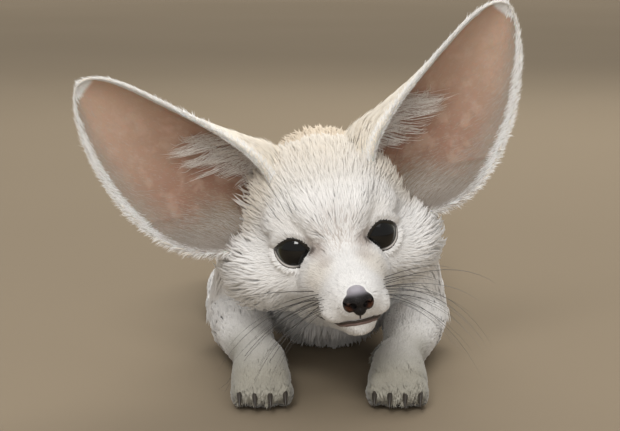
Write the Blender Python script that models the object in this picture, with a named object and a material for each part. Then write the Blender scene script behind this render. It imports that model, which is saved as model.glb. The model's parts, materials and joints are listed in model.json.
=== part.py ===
"""A fennec fox, life size, lying on its belly with its head up: every part as a closed solid.

Blender units are metres, +Z is up. The fox looks towards -Y and its left side is +X. The origin is
on the floor, at the middle of the belly's flat. Sizes below are in millimetres and outside the coat,
unless a comment says otherwise. HEAD sizes are measured from the point midway between the eyes.
"""

import math
import random

import bmesh
import bpy
from mathutils import Matrix, Vector
from mathutils.bvhtree import BVHTree

MM = 0.001
GAP = 0.3
SIDES = (("left", 1), ("right", -1))

# How the head is carried: midway between the eyes, then turn, nod and tilt in degrees.
HEAD_PLACE = (3, -165, 62)
HEAD_TURN = 6.8
HEAD_NOD = 0.7
HEAD_TILT = -10.2

# Head.
EYE_SPACING = 30.5
EYE_RADIUS = 9
EYE_DEPTH = 3.5
LID_THICKNESS = 1.7
EYE_OPENING = (8.3, 10, 5.4)
GAZE_OUT = 18
EYE_SLANT = 19
HEAD_FORMS = (
    # centre and radii of each rounded mass, on the middle line
    ((0, 28, 6), (34, 36, 31)),
    ((0, 1, 6), (25, 15, 17)),
    ((0, 32, -14), (31, 28, 20)),
)
HEAD_PAIR_FORMS = (
    # the same for each mass that comes in a pair, on the left side
    ((19, 22, -8), (25, 27, 20)),
    ((12, 2, 8), (14, 11, 10)),
    ((7, -27, -19), (7, 10, 6.5)),
)
MUZZLE_RINGS = (
    # y, z, half width, half height
    (10, -8, 25, 18),
    (-4, -10.5, 20, 15),
    (-14, -12.5, 16, 12.5),
    (-25, -14.8, 13, 10.5),
    (-34, -15.8, 10.8, 8.8),
    (-40, -16, 7.5, 6),
)
JAW_RINGS = (
    (14, -23, 20, 12),
    (-4, -24, 14, 9),
    (-20, -25, 10.5, 7),
    (-31, -25.4, 8, 6),
    (-36, -25.4, 4.5, 4),
)
MOUTH_LINE = ((16, -12, -20.5), (13, -22, -24.6), (9, -32, -25.2), (4.5, -39, -23.6), (0, -41, -22.6))
MOUTH_WIDTH = 2.0

# How overlapping forms are melted: voxel size, rounds of smoothing, share of the faces that is kept.
HEAD_MELT = (1.9, 9, 0.032)
BODY_MELT = (3.5, 9, 0.052)
LEG_MELT = (3, 3, 0.045)
NOSE_MELT = (0.7, 3, 0.06)

# Nose pad: centre and radii of its masses, then the nostrils.
NOSE_FORMS = (
    ((0, -40.4, -15.6), (5.0, 4.2, 4.6)),
    ((0, -38.2, -12.2), (3.6, 5.0, 3.6)),
    ((0, -36.6, -9.8), (2.0, 4.2, 2.2)),
    ((4.2, -39.0, -15.4), (2.6, 3.6, 3.2)),
    ((-4.2, -39.0, -15.4), (2.6, 3.6, 3.2)),
)
NOSTRIL = ((3.1, -43.0, -15.9), (1.7, 2.6, 1.3))
NOSTRIL_TURN = 28

# Ears, each in its own axes: across, behind and along, from the middle of the mouth of its funnel.
EAR_LENGTH = 92
EAR_ROOT = (30, 16, 10)
EAR_AXIS = (0.645, 0.12, 0.755)
EAR_FACING = (0.34, -0.94, 0.0)
EAR_WALL = 2.2
EAR_FUR = 13
EAR_FUR_MIDDLE = -0.5
EAR_FUR_END = 0.8
EAR_BOWL = ((2, 9.5, 9), (14, 13.5, 15))
EAR_FUR_SPREAD = 0.5
EAR_WIDEST = 0.32
EAR_TIP = (2.3, 0.52)
EAR_GRID = (10, 12)
EAR_RINGS = (
    # share of the length, radius of the cup, half the angle that the cup wraps
    (0.0, 18, 122),
    (0.1, 23.5, 102),
    (0.22, 28, 83),
    (0.4, 30.5, 66),
    (0.65, 31, 53),
    (1.0, 31, 42),
)
EAR_LEAN = 5

# Trunk and neck: y, z, half width, half height.
TORSO_RINGS = (
    (-118, 51, 25, 25),
    (-104, 48, 34, 36),
    (-80, 43.5, 40, 45),
    (-44, 39.5, 41.5, 43),
    (-6, 36.5, 39, 39),
    (32, 37.5, 40, 40.5),
    (68, 40.5, 43, 44.5),
    (96, 41.5, 38, 41),
    (118, 42, 26, 28),
    (130, 43, 13, 14),
)
NECK_RINGS = (
    (-78, 50, 31, 36),
    (-100, 54, 30, 34),
    (-120, 60, 30, 32),
    (-142, 63, 28, 28),
)
NECK_FRONT = ((0, -121, 62), (0, -0.96, 0.28))
NECK_BACK = ((0, -99, 52), (0, -0.93, 0.37))

# Legs: x, y, z and radius from the body down to where the paw begins, on the left side.
FORELEG = (
    (25, -94, 55, 16),
    (30, -84, 40, 17),
    (37, -77, 19, 16),
    (37.5, -96, 15, 14.5),
    (34, -122, 13, 12.5),
    (29.5, -148, 12, 11),
    (28, -160, 11.5, 10.6),
)
WRIST_Y = -152
LEG_MARGIN = 2.5
FOOT_GAP = 0.7
HINDLEG = (
    (27, 88, 46, 20),
    (31, 62, 40, 24),
    (35, 38, 33, 20),
    (37, 24, 27, 16),
    (40, 50, 26, 14),
    (42, 78, 21, 13),
)
HINDFOOT = (
    (44, 84, 13, 12),
    (47, 60, 10.5, 10.5),
    (48.5, 36, 9.5, 9.8),
    (49, 16, 10, 11.2),
    (49, 3, 10, 11.4),
)

# Paws: place and turn on the floor, radius of the wrist, and how far the toes stand apart.
FOREPAW_PLACE = (28, WRIST_Y)
FOREPAW_TURN = -3
FORE_WRIST = 10.4
FORE_TOE_SPREAD = 5.9
HINDPAW_PLACE = (49, 16)
HINDPAW_TURN = -4
HIND_WRIST = 9.4
HIND_TOE_SPREAD = 5.2
PAW_LENGTH = 40
TOES = (-1.5, -0.5, 0.5, 1.5)
OUTER_TOE_BACK = 2.6
TOE_RADII = (4.3, 8.6, 6.6)
CLAW_LENGTH = 7.5

# Tail: x, y, z and radius of the whole brush.
TAIL_RINGS = (
    (0, 118, 46, 11),
    (1, 140, 36, 15),
    (7, 164, 25, 19),
    (17, 194, 21.5, 22.5),
    (28, 224, 22, 24),
    (36, 254, 22, 24),
    (38, 284, 21.5, 23),
    (34, 312, 20.5, 19.5),
    (26, 334, 18, 12),
    (20, 348, 16, 3),
)
TAIL_LENGTH = 232
TAIL_CORE = 0.5
TAIL_CORE_DROP = 0.3
TAIL_CORE_END = 0.92
TAIL_CORE_STEPS = 8
TAIL_ROWS = 8
TAIL_LOCKS = 6
TAIL_LOCK = (54, 10.0, 1.6)

# Long hair elsewhere: length, half width and half thickness of one lock, then where locks are rooted.
CHEEK_LOCK = (19, 4.6, 1.3)
CHEEK_ROOTS = (
    # HEAD x, y, z on the left side, and how far the lock leans down
    (41, 23, -10, 0.4),
    (40, 20, -17, 0.55),
    (36, 17, -24, 0.75),
    (29, 14, -30, 0.95),
    (40, 33, -14, 0.5),
    (37, 32, -21, 0.65),
    (31, 28, -28, 0.85),
)
EAR_LOCK = (24, 2.1, 0.55)
EAR_LOCKS = 6

# Seeds of the small differences between the locks.
TAIL_SEED = 7
CHEEK_SEED = 3
EAR_SEED = 11

COAT = (0.80, 0.73, 0.62)
COAT_BACK = (0.72, 0.60, 0.45)
COAT_TAIL = (0.66, 0.53, 0.38)
EAR_SKIN = (0.78, 0.60, 0.53)
EYE_BLACK = (0.01, 0.01, 0.008)
NOSE_BROWN = (0.12, 0.09, 0.085)


def clear_scene():
    for obj in list(bpy.data.objects):
        bpy.data.objects.remove(obj)


def material(name, colour, roughness):
    made = bpy.data.materials.new(name)
    made.use_nodes = True
    shader = made.node_tree.nodes["Principled BSDF"]
    shader.inputs["Base Color"].default_value = (*colour, 1)
    shader.inputs["Roughness"].default_value = roughness
    shader.inputs["Metallic"].default_value = 0
    return made


def object_of(name, bm, finish=None):
    """The bmesh as an object of the scene, with its faces pointing out."""
    bmesh.ops.recalc_face_normals(bm, faces=bm.faces)
    mesh = bpy.data.meshes.new(name)
    bm.to_mesh(mesh)
    bm.free()
    if finish:
        mesh.materials.append(finish)
    obj = bpy.data.objects.new(name, mesh)
    bpy.context.scene.collection.objects.link(obj)
    return obj


def bmesh_of(obj):
    """The object's mesh as the viewport shows it; the object itself is removed."""
    graph = bpy.context.evaluated_depsgraph_get()
    mesh = bpy.data.meshes.new_from_object(obj.evaluated_get(graph))
    bm = bmesh.new()
    bm.from_mesh(mesh)
    bpy.data.objects.remove(obj)
    bpy.data.meshes.remove(mesh)
    return bm


def head_matrix():
    """From the head's own axes, in millimetres, to the fox's, in metres."""
    turn = Matrix.Rotation(math.radians(HEAD_TURN), 4, "Z")
    nod = Matrix.Rotation(math.radians(HEAD_NOD), 4, "X")
    tilt = Matrix.Rotation(math.radians(HEAD_TILT), 4, "Y")
    return Matrix.Translation(Vector(HEAD_PLACE) * MM) @ turn @ nod @ tilt @ Matrix.Scale(MM, 4)


HEAD = head_matrix()
BODY = Matrix.Scale(MM, 4)


def ball(bm, centre, radii, axes, around=20, up=12, turn=None):
    """An ellipsoid, in millimetres of the axes that are given."""
    place = axes @ Matrix.Translation(centre) @ (turn or Matrix()) @ Matrix.Diagonal((*radii, 1))
    bmesh.ops.create_uvsphere(bm, u_segments=around, v_segments=up, radius=1, matrix=place)


def loft(bm, rings, axes, sides=20, across=(1, 0, 0), pointed=False):
    """A closed tube through rings of (centre, half width, half height), with flat or pointed ends."""
    centres = [Vector(ring[0]) for ring in rings]
    edges = []
    before = None
    for at, (_, half_width, half_height) in enumerate(rings):
        along = (centres[min(at + 1, len(rings) - 1)] - centres[max(at - 1, 0)]).normalized()
        up = along.cross(Vector(across)).normalized()
        side = up.cross(along)
        turn = Matrix((side, up, along)).transposed().to_4x4()
        size = Matrix.Diagonal((half_width, half_height, 1, 1))
        place = axes @ Matrix.Translation(centres[at]) @ turn @ size
        if before is None:
            start = bmesh.ops.create_circle(bm, cap_ends=True, segments=sides, radius=1, matrix=place)
            edges = list({edge for vert in start["verts"] for edge in vert.link_edges})
        else:
            grown = bmesh.ops.extrude_edge_only(bm, edges=edges)["geom"]
            verts = [part for part in grown if isinstance(part, bmesh.types.BMVert)]
            edges = [part for part in grown if isinstance(part, bmesh.types.BMEdge)]
            bmesh.ops.transform(bm, matrix=place @ before.inverted(), verts=verts)
        before = place
    if pointed:
        bmesh.ops.pointmerge(bm, verts=verts, merge_co=axes @ centres[-1])
    else:
        bmesh.ops.contextual_create(bm, geom=edges)


def line_loft(bm, rings, axes, **shape):
    """A loft through rings of (y, z, half width, half height) on the middle line."""
    loft(bm, [((0, y, z), wide, high) for y, z, wide, high in rings], axes, **shape)


def limb(bm, points, side, axes=BODY, sides=16):
    """A round limb through points of (x, y, z, radius), as a chain of balls and tapered lengths."""
    for start, end in zip(points, points[1:]):
        first, last = (Vector((side * x, y, z)) for x, y, z, _ in (start, end))
        loft(bm, [(first, start[3], start[3]), (last, end[3], end[3])], axes, sides=sides)
        ball(bm, first, (start[3],) * 3, axes, around=sides, up=10)
    ball(bm, last, (end[3],) * 3, axes, around=sides, up=10)


def melted(bm, voxel, smoothing, keep):
    """One smooth closed skin around overlapping closed forms, thinned to a share of its faces."""
    obj = object_of("melting", bm)
    remesh = obj.modifiers.new("remesh", "REMESH")
    remesh.mode = "VOXEL"
    remesh.voxel_size = voxel * MM
    smooth = obj.modifiers.new("smooth", "SMOOTH")
    smooth.factor = 0.5
    smooth.iterations = smoothing
    thin = obj.modifiers.new("thin", "DECIMATE")
    thin.ratio = keep
    thin.use_collapse_triangulate = True
    return bmesh_of(obj)


def swollen(bm, by):
    """A copy whose skin stands off by that many millimetres."""
    grown = bm.copy()
    grown.normal_update()
    moved = [vert.co + vert.normal * by * MM for vert in grown.verts]
    for vert, place in zip(grown.verts, moved):
        vert.co = place
    return grown


def sliced(bm, point, normal):
    """Takes away what lies beyond the plane, and closes the cut with a flat face."""
    parts = [*bm.verts, *bm.edges, *bm.faces]
    point, normal = Vector(point) * MM, Vector(normal)
    cut = bmesh.ops.bisect_plane(
        bm, geom=parts, dist=1e-7, plane_co=point, plane_no=normal, clear_outer=True)
    rim = [part for part in cut["geom_cut"] if isinstance(part, bmesh.types.BMEdge)]
    bmesh.ops.holes_fill(bm, edges=rim, sides=0)
    bmesh.ops.triangulate(bm, faces=bm.faces)
    return bm


def largest(bm):
    """Keeps the closed surface with the most room inside it."""
    bm.faces.ensure_lookup_table()
    waiting = set(bm.faces)
    shells = []
    while waiting:
        shell, edge = set(), [waiting.pop()]
        while edge:
            face = edge.pop()
            shell.add(face)
            near = {other for side in face.edges for other in side.link_faces} & waiting
            waiting -= near
            edge.extend(near)
        shells.append(shell)
    shells.sort(key=lambda shell: -abs(sum(
        f.calc_center_median().dot(f.normal) * f.calc_area() for f in shell)))
    spare = [face for shell in shells[1:] for face in shell]
    bmesh.ops.delete(bm, geom=spare, context="FACES")
    return bm


def combined(bm, others, operation, solver="EXACT"):
    """Joins the other closed meshes to this one, or cuts them from it, and keeps the largest body."""
    obj = object_of("base", bm)
    group = bpy.data.collections.new("operands")
    bpy.context.scene.collection.children.link(group)
    for other in others:
        piece = object_of("operand", other)
        bpy.context.scene.collection.objects.unlink(piece)
        group.objects.link(piece)
    cut = obj.modifiers.new("boolean", "BOOLEAN")
    cut.operation = operation
    cut.solver = solver
    cut.operand_type = "COLLECTION"
    cut.collection = group
    result = bmesh_of(obj)
    for piece in list(group.objects):
        bpy.data.objects.remove(piece)
    bpy.data.collections.remove(group)
    bmesh.ops.triangulate(result, faces=result.faces)
    return largest(result)


def lock(root, tip, out, bow, half_width, half_thickness, root_width=0.7):
    """A flat, tapered lock of hair: a bowed blade from a root under the skin to a point."""
    rings = []
    for along, wide in ((0, root_width), (0.35, 1.0), (0.7, 0.72), (1, 0.02)):
        centre = root.lerp(tip, along) + out * bow * 4 * along * (1 - along)
        rings.append((centre, half_width * wide, half_thickness * (0.4 + 0.6 * wide)))
    bm = bmesh.new()
    loft(bm, rings, BODY, sides=4, across=(tip - root).cross(out), pointed=True)
    return bm


def build_head_skin():
    bm = bmesh.new()
    for centre, radii in HEAD_FORMS:
        ball(bm, centre, radii, HEAD)
    for (x, y, z), radii in HEAD_PAIR_FORMS:
        for _, side in SIDES:
            ball(bm, (side * x, y, z), radii, HEAD)
    line_loft(bm, MUZZLE_RINGS, HEAD)
    line_loft(bm, JAW_RINGS, HEAD)
    line_loft(bm, NECK_RINGS, BODY)
    return melted(bm, *HEAD_MELT)


def build_body_skin():
    bm = bmesh.new()
    line_loft(bm, TORSO_RINGS, BODY)
    line_loft(bm, NECK_RINGS, BODY)
    for _, side in SIDES:
        limb(bm, FORELEG, side)
        limb(bm, HINDLEG, side)
    return sliced(melted(bm, *BODY_MELT), (0, 0, 0), (0, 0, -1))


def gaze_turn(side):
    """How an eye's opening is turned: outwards, and with its outer corner up."""
    out = Matrix.Rotation(math.radians(side * GAZE_OUT), 4, "Z")
    return out @ Matrix.Rotation(math.radians(-side * EYE_SLANT), 4, "Y")


def eye_ball(side, radius):
    bm = bmesh.new()
    ball(bm, (side * EYE_SPACING / 2, EYE_DEPTH, 0), (radius,) * 3, HEAD, around=18, up=10)
    return bm


def eye_opening(side):
    """What is cut from the lids to show the eye."""
    bm = bmesh.new()
    turn = gaze_turn(side)
    centre = Vector((side * EYE_SPACING / 2, EYE_DEPTH, 0)) + turn @ Vector((0, -EYE_OPENING[1], 0))
    ball(bm, centre, EYE_OPENING, HEAD, around=20, up=12, turn=turn)
    return bm


def mouth_groove(skin):
    """A round groove along the line of the mouth, its middle on the skin."""
    surface = BVHTree.FromBMesh(skin)
    half = [Vector(point) for point in MOUTH_LINE]
    points = half + [Vector((-x, y, z)) for x, y, z in reversed(half[:-1])]
    curve = bpy.data.curves.new("mouth", "CURVE")
    curve.dimensions = "3D"
    curve.bevel_depth = MOUTH_WIDTH / 2 * MM
    curve.bevel_resolution = 1
    curve.use_fill_caps = True
    line = [before.lerp(after, step / 3) for before, after in zip(points, points[1:]) for step in range(3)]
    line.append(points[-1])
    spline = curve.splines.new("POLY")
    spline.points.add(len(line) - 1)
    for place, point in zip(spline.points, line):
        place.co = (*surface.find_nearest(HEAD @ point)[0], 1)
    obj = bpy.data.objects.new("mouth", curve)
    bpy.context.scene.collection.objects.link(obj)
    bm = bmesh_of(obj)
    bmesh.ops.remove_doubles(bm, verts=bm.verts, dist=1e-6)
    return bm


def build_nose():
    bm = bmesh.new()
    for centre, radii in NOSE_FORMS:
        ball(bm, centre, radii, HEAD)
    return melted(bm, *NOSE_MELT)


def nostrils():
    cutters = []
    centre, radii = NOSTRIL
    for _, side in SIDES:
        bm = bmesh.new()
        turn = Matrix.Rotation(math.radians(side * NOSTRIL_TURN), 4, "Z")
        ball(bm, (side * centre[0], *centre[1:]), radii, HEAD, around=12, up=8, turn=turn)
        cutters.append(bm)
    return cutters


def between(share, rings, column):
    """The value of one column of a table of rings at a share of the length."""
    for before, after in zip(rings, rings[1:]):
        if share <= after[0]:
            part = (share - before[0]) / (after[0] - before[0])
            part = part * part * (3 - 2 * part)
            return before[column] + (after[column] - before[column]) * part
    return rings[-1][column]


def ear_axes(side):
    """From the ear's own axes to the fox's. The right ear is the left one mirrored."""
    along = Vector(EAR_AXIS).normalized()
    facing = Vector(EAR_FACING)
    facing = (facing - facing.dot(along) * along).normalized()
    across = along.cross(facing)
    turn = Matrix((across, -facing, along)).transposed().to_4x4()
    return HEAD @ Matrix.Diagonal((side, 1, 1, 1)) @ Matrix.Translation(EAR_ROOT) @ turn


def ear_point(share, around):
    """A point of the ear's inner wall: share of its length, and around from -1, inner rim, to 1."""
    beyond = max(0, (share - EAR_WIDEST) / (1 - EAR_WIDEST))
    radius = between(share, EAR_RINGS, 1) * (1 - beyond ** EAR_TIP[0]) ** EAR_TIP[1]
    wrap = math.radians(between(share, EAR_RINGS, 2))
    across = radius * math.sin(wrap * around) + EAR_LEAN * math.sin(math.pi * share)
    behind = radius * (math.cos(wrap * around) - math.cos(wrap))
    return Vector((across, behind, share * EAR_LENGTH))


def ear_depth(share, around):
    """Thickness of the ear: a thin wall, with deep fur on its back near the root."""
    along = max(0, 1 - share / EAR_FUR_END) ** 1.4
    inner = 0.3 + 0.7 * math.exp(-(((around - EAR_FUR_MIDDLE) / EAR_FUR_SPREAD) ** 2))
    edge = 1 - 0.75 * abs(around) ** 5
    return EAR_WALL + EAR_FUR * along * inner * edge


def build_ear(side):
    """The cup of the ear: a curved sheet and its back, with the same triangles, joined at the rim."""
    bm = bmesh.new()
    axes = ear_axes(side)
    bmesh.ops.create_grid(bm, x_segments=EAR_GRID[0], y_segments=EAR_GRID[1], size=1)
    bmesh.ops.triangulate(bm, faces=bm.faces)
    front = list(bm.verts)
    shares = [1 - ((1 - vert.co.y) / 2) ** 1.5 for vert in front]
    depths = [ear_depth(share, vert.co.x) for share, vert in zip(shares, front)]
    for vert, share in zip(front, shares):
        vert.co = ear_point(share * 0.995, vert.co.x)
    bm.normal_update()
    back = bmesh.ops.duplicate(bm, geom=[*bm.verts, *bm.edges, *bm.faces])["vert_map"]
    for vert, share, depth in zip(front, shares, depths):
        away = -vert.normal.lerp(Vector((0, -1, 0)), max(0, 5 * share - 4))
        back[vert].co = vert.co + away.normalized() * depth
    bmesh.ops.bridge_loops(bm, edges=[edge for edge in bm.edges if edge.is_boundary])
    bmesh.ops.triangulate(bm, faces=bm.faces)
    bmesh.ops.transform(bm, matrix=axes, verts=bm.verts)
    return bm


def ear_bowl(side):
    """The hollow at the root of the ear, cut from the head."""
    bm = bmesh.new()
    ball(bm, *EAR_BOWL, ear_axes(side), around=14, up=8)
    return bm


def paw_axes(side, place, turn):
    x, y = place
    turned = Matrix.Rotation(math.radians(side * turn), 4, "Z")
    return BODY @ Matrix.Translation((side * x, y, 0)) @ turned


def build_paw(axes, wrist_radius, spread, leg=None):
    """A paw flat on the floor: its back, four toes and their claws, and the leg's end if it is given."""
    bm = bmesh.new()
    rings = (
        ((0, 5, 11), wrist_radius, wrist_radius),
        ((0, -10, 10), wrist_radius + 1.2, 10.2),
        ((0, -22, 8.6), 2.2 * spread, 8.8),
        ((0, -30, 6), 1.9 * spread, 5),
    )
    loft(bm, rings, axes, sides=12)
    others = [leg] if leg else []
    for toe in TOES:
        x = toe * spread
        y = -PAW_LENGTH + TOE_RADII[1] + OUTER_TOE_BACK * (abs(toe) - 0.5)
        form = bmesh.new()
        ball(form, (x, y, 5.8), TOE_RADII, axes, around=9, up=6)
        others.append(form)
        claw = bmesh.new()
        root = y - TOE_RADII[1] + 2.5
        rings = (
            ((x, root, 6.4), 1.3, 1.7),
            ((x, root - 0.55 * CLAW_LENGTH, 5.6), 1.1, 1.4),
            ((x, root - CLAW_LENGTH, 2.6), 0.02, 0.02),
        )
        loft(claw, rings, axes, sides=4, pointed=True)
        others.append(claw)
    return sliced(combined(bm, others, "UNION"), (0, 0, 0), (0, 0, -1))


def region(points, side, margin):
    """The room that a leg takes up: what of the body lies in it belongs to the leg."""
    bm = bmesh.new()
    limb(bm, [(x, y, z, radius + margin) for x, y, z, radius in points], side)
    return melted(bm, *LEG_MELT)


def tail_at(share):
    """Middle and radius of the whole brush at a share of its length."""
    place = min(max(share, 0), 1) * (len(TAIL_RINGS) - 1)
    before = min(int(place), len(TAIL_RINGS) - 2)
    first, last = (Vector(ring) for ring in TAIL_RINGS[before : before + 2])
    x, y, z, radius = first.lerp(last, place - before)
    return Vector((x, y, z)), radius


def tail_core_at(share):
    """The same for the core, which lies lower in the brush because the tail lies on the floor."""
    centre, radius = tail_at(share)
    return centre - Vector((0, 0, TAIL_CORE_DROP * radius)), TAIL_CORE * radius


def tail_locks(draw):
    """Rows of locks from the core out to the brush's surface, each over the next, swept to the tip."""
    locks = []
    length, half_width, half_thickness = TAIL_LOCK
    for row in range(TAIL_ROWS):
        start = 0.03 + 0.80 * row / (TAIL_ROWS - 1)
        for place in range(TAIL_LOCKS):
            angle = math.tau * (place + 0.5 * (row % 2) + draw.uniform(-0.12, 0.12)) / TAIL_LOCKS
            size = draw.uniform(0.88, 1.12)
            middle, core = tail_core_at(start)
            end = start + length * size / TAIL_LENGTH
            brush, radius = tail_at(end)
            lie = (brush - middle).normalized()
            side = lie.cross(Vector((0, 0, 1))).normalized()
            out = side * math.cos(angle) + side.cross(lie) * math.sin(angle)
            reach = radius * draw.uniform(0.9, 1.04) if end < 1 else 0.25 * core
            tip = brush + lie * max(0, end - 1) * TAIL_LENGTH + out * reach
            root = middle + out * (core - 4 * half_thickness)
            tip.z = max(tip.z, 2.5)
            if root.z > 3:
                bow = 0.16 * (tip - root).length if out.z > -0.4 else 0
                wide = half_width * (0.55 + 0.45 * min(1, radius / 20))
                locks.append(lock(root, tip, out, bow, wide, half_thickness))
    return locks


def build_tail():
    bm = bmesh.new()
    rings = []
    for step in range(TAIL_CORE_STEPS + 1):
        centre, radius = tail_core_at(TAIL_CORE_END * step / TAIL_CORE_STEPS)
        rings.append((centre, radius, radius))
    loft(bm, rings, BODY, sides=10)
    brush = combined(bm, tail_locks(random.Random(TAIL_SEED)), "UNION", "MANIFOLD")
    return sliced(brush, (0, 0, 0), (0, 0, -1))


def cheek_locks(side, draw):
    """Locks that leave the back edge of the cheek, pointing back, out and down."""
    locks = []
    length, half_width, half_thickness = CHEEK_LOCK
    for x, y, z, lean in CHEEK_ROOTS:
        root = HEAD @ Vector((side * (x - 4), y - 2, z)) / MM
        lie = (HEAD.to_3x3() @ Vector((side * (0.75 - 0.5 * lean), 0.75, -lean))).normalized()
        out = (HEAD.to_3x3() @ Vector((side, -0.3, -0.5 * lean))).normalized()
        tip = root + lie * (length + 5) * draw.uniform(0.85, 1.15)
        locks.append(lock(root, tip, out, 2.0, half_width, half_thickness))
    return locks


def ear_locks(side, draw):
    """Long hairs from the inner wall near the inner rim, lying across the mouth of the ear."""
    locks = []
    length, half_width, half_thickness = EAR_LOCK
    axes = ear_axes(side)
    for place in range(EAR_LOCKS):
        share = 0.12 + 0.40 * place / (EAR_LOCKS - 1)
        root = ear_point(share, -0.66)
        middle = Vector((0, root.y, root.z))
        inward = (middle - root).normalized()
        lie = (inward + Vector((0.25, -0.35, 0.55))).normalized()
        tip = root + lie * length * draw.uniform(0.8, 1.1) * (1.1 - 0.5 * share)
        root -= inward * 0.2
        out = lie.cross(Vector((0, 0, 1))).normalized()
        places = [axes @ point / MM for point in (root, tip)]
        out = (axes.to_3x3() @ out).normalized()
        locks.append(lock(*places, out, 0.8, half_width, half_thickness, 0.3))
    return locks


def main():
    clear_scene()
    coat = material("coat", COAT, 0.85)
    coat_back = material("coat_back", COAT_BACK, 0.85)
    coat_tail = material("coat_tail", COAT_TAIL, 0.9)
    ear_skin = material("ear_skin", EAR_SKIN, 0.6)
    eye_black = material("eye", EYE_BLACK, 0.08)
    nose_brown = material("nose", NOSE_BROWN, 0.4)

    head_skin = build_head_skin()
    body_skin = build_body_skin()

    lids = [eye_ball(side, EYE_RADIUS + LID_THICKNESS) for _, side in SIDES]
    head = combined(sliced(head_skin.copy(), NECK_FRONT[0], -Vector(NECK_FRONT[1])), lids, "UNION")
    nose = build_nose()
    cutters = [mouth_groove(head_skin), swollen(nose, GAP)]
    cutters += [eye_ball(side, EYE_RADIUS + GAP) for _, side in SIDES]
    cutters += [eye_opening(side) for _, side in SIDES] + [ear_bowl(side) for _, side in SIDES]
    draw = random.Random(CHEEK_SEED)
    ruff = [piece for _, side in SIDES for piece in cheek_locks(side, draw)]
    head = combined(combined(head, cutters, "DIFFERENCE"), ruff, "UNION", "MANIFOLD")
    object_of("nose_pad", combined(nose, nostrils(), "DIFFERENCE"), nose_brown)
    for name, side in SIDES:
        object_of("eye_" + name, eye_ball(side, EYE_RADIUS), eye_black)
        ear = combined(build_ear(side), ear_locks(side, random.Random(EAR_SEED)), "UNION", "MANIFOLD")
        ear = combined(ear, [swollen(head_skin, GAP)], "DIFFERENCE")
        object_of("ear_" + name, ear, ear_skin)

    rooms = []
    hindfeet = {}
    for name, side in SIDES:
        foreleg = region(FORELEG, side, LEG_MARGIN)
        hindleg = region(HINDLEG, side, LEG_MARGIN)
        hindfeet[name] = region(HINDFOOT, side, 0)
        foot_room = swollen(hindfeet[name], FOOT_GAP)
        rooms += [swollen(foreleg, GAP), swollen(hindleg, GAP), foot_room.copy()]
        foreleg = combined(foreleg, [body_skin.copy()], "INTERSECT")
        foreleg = sliced(foreleg, (0, WRIST_Y, 0), (0, -1, 0))
        head = combined(head, [swollen(foreleg, GAP)], "DIFFERENCE")
        object_of("foreleg_" + name, foreleg, coat)
        hindleg = combined(hindleg, [body_skin.copy()], "INTERSECT")
        object_of("hindleg_" + name, combined(hindleg, [foot_room], "DIFFERENCE"), coat)
    object_of("head", head, coat)
    trunk = combined(body_skin, rooms, "DIFFERENCE")
    gap = Vector(NECK_FRONT[1]).normalized() * GAP
    neck = sliced(trunk.copy(), Vector(NECK_FRONT[0]) - gap, NECK_FRONT[1])
    neck = largest(sliced(neck, NECK_BACK[0], -Vector(NECK_BACK[1])))
    torso = largest(sliced(trunk, Vector(NECK_BACK[0]) - gap, NECK_BACK[1]))

    for name, side in SIDES:
        axes = paw_axes(side, FOREPAW_PLACE, FOREPAW_TURN)
        forepaw = build_paw(axes, FORE_WRIST, FORE_TOE_SPREAD)
        object_of("forepaw_" + name, sliced(forepaw, (0, WRIST_Y - GAP, 0), (0, 1, 0)), coat)
        axes = paw_axes(side, HINDPAW_PLACE, HINDPAW_TURN)
        object_of("hindpaw_" + name, build_paw(axes, HIND_WRIST, HIND_TOE_SPREAD, hindfeet[name]), coat)
    tail = combined(build_tail(), [swollen(torso, GAP)], "DIFFERENCE")
    object_of("torso", torso, coat_back)
    object_of("neck", neck, coat_back)
    object_of("tail", tail, coat_tail)


main()
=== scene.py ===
# %% [markdown]
# # A life-size fennec fox
#
# The solid model gives this desert fox its size, its pose and its place on the floor, and it is plain.
# The lesson gives it its looks: one soft skin, wet eyes in real lids, thin cupped ears, a nose, claws and
# whiskers, and over all of it a coat of solid tufts that follow the lie of real fur. Everything is in the
# model's own frame: metres, +Z up, the fox looks towards -Y, and its left side is +X.

# %% The model and the tools
import json
import math

import bmesh
import bpy
import numpy as np
from mathutils import Matrix, Vector
from mathutils.bvhtree import BVHTree
from mathutils.kdtree import KDTree

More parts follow.
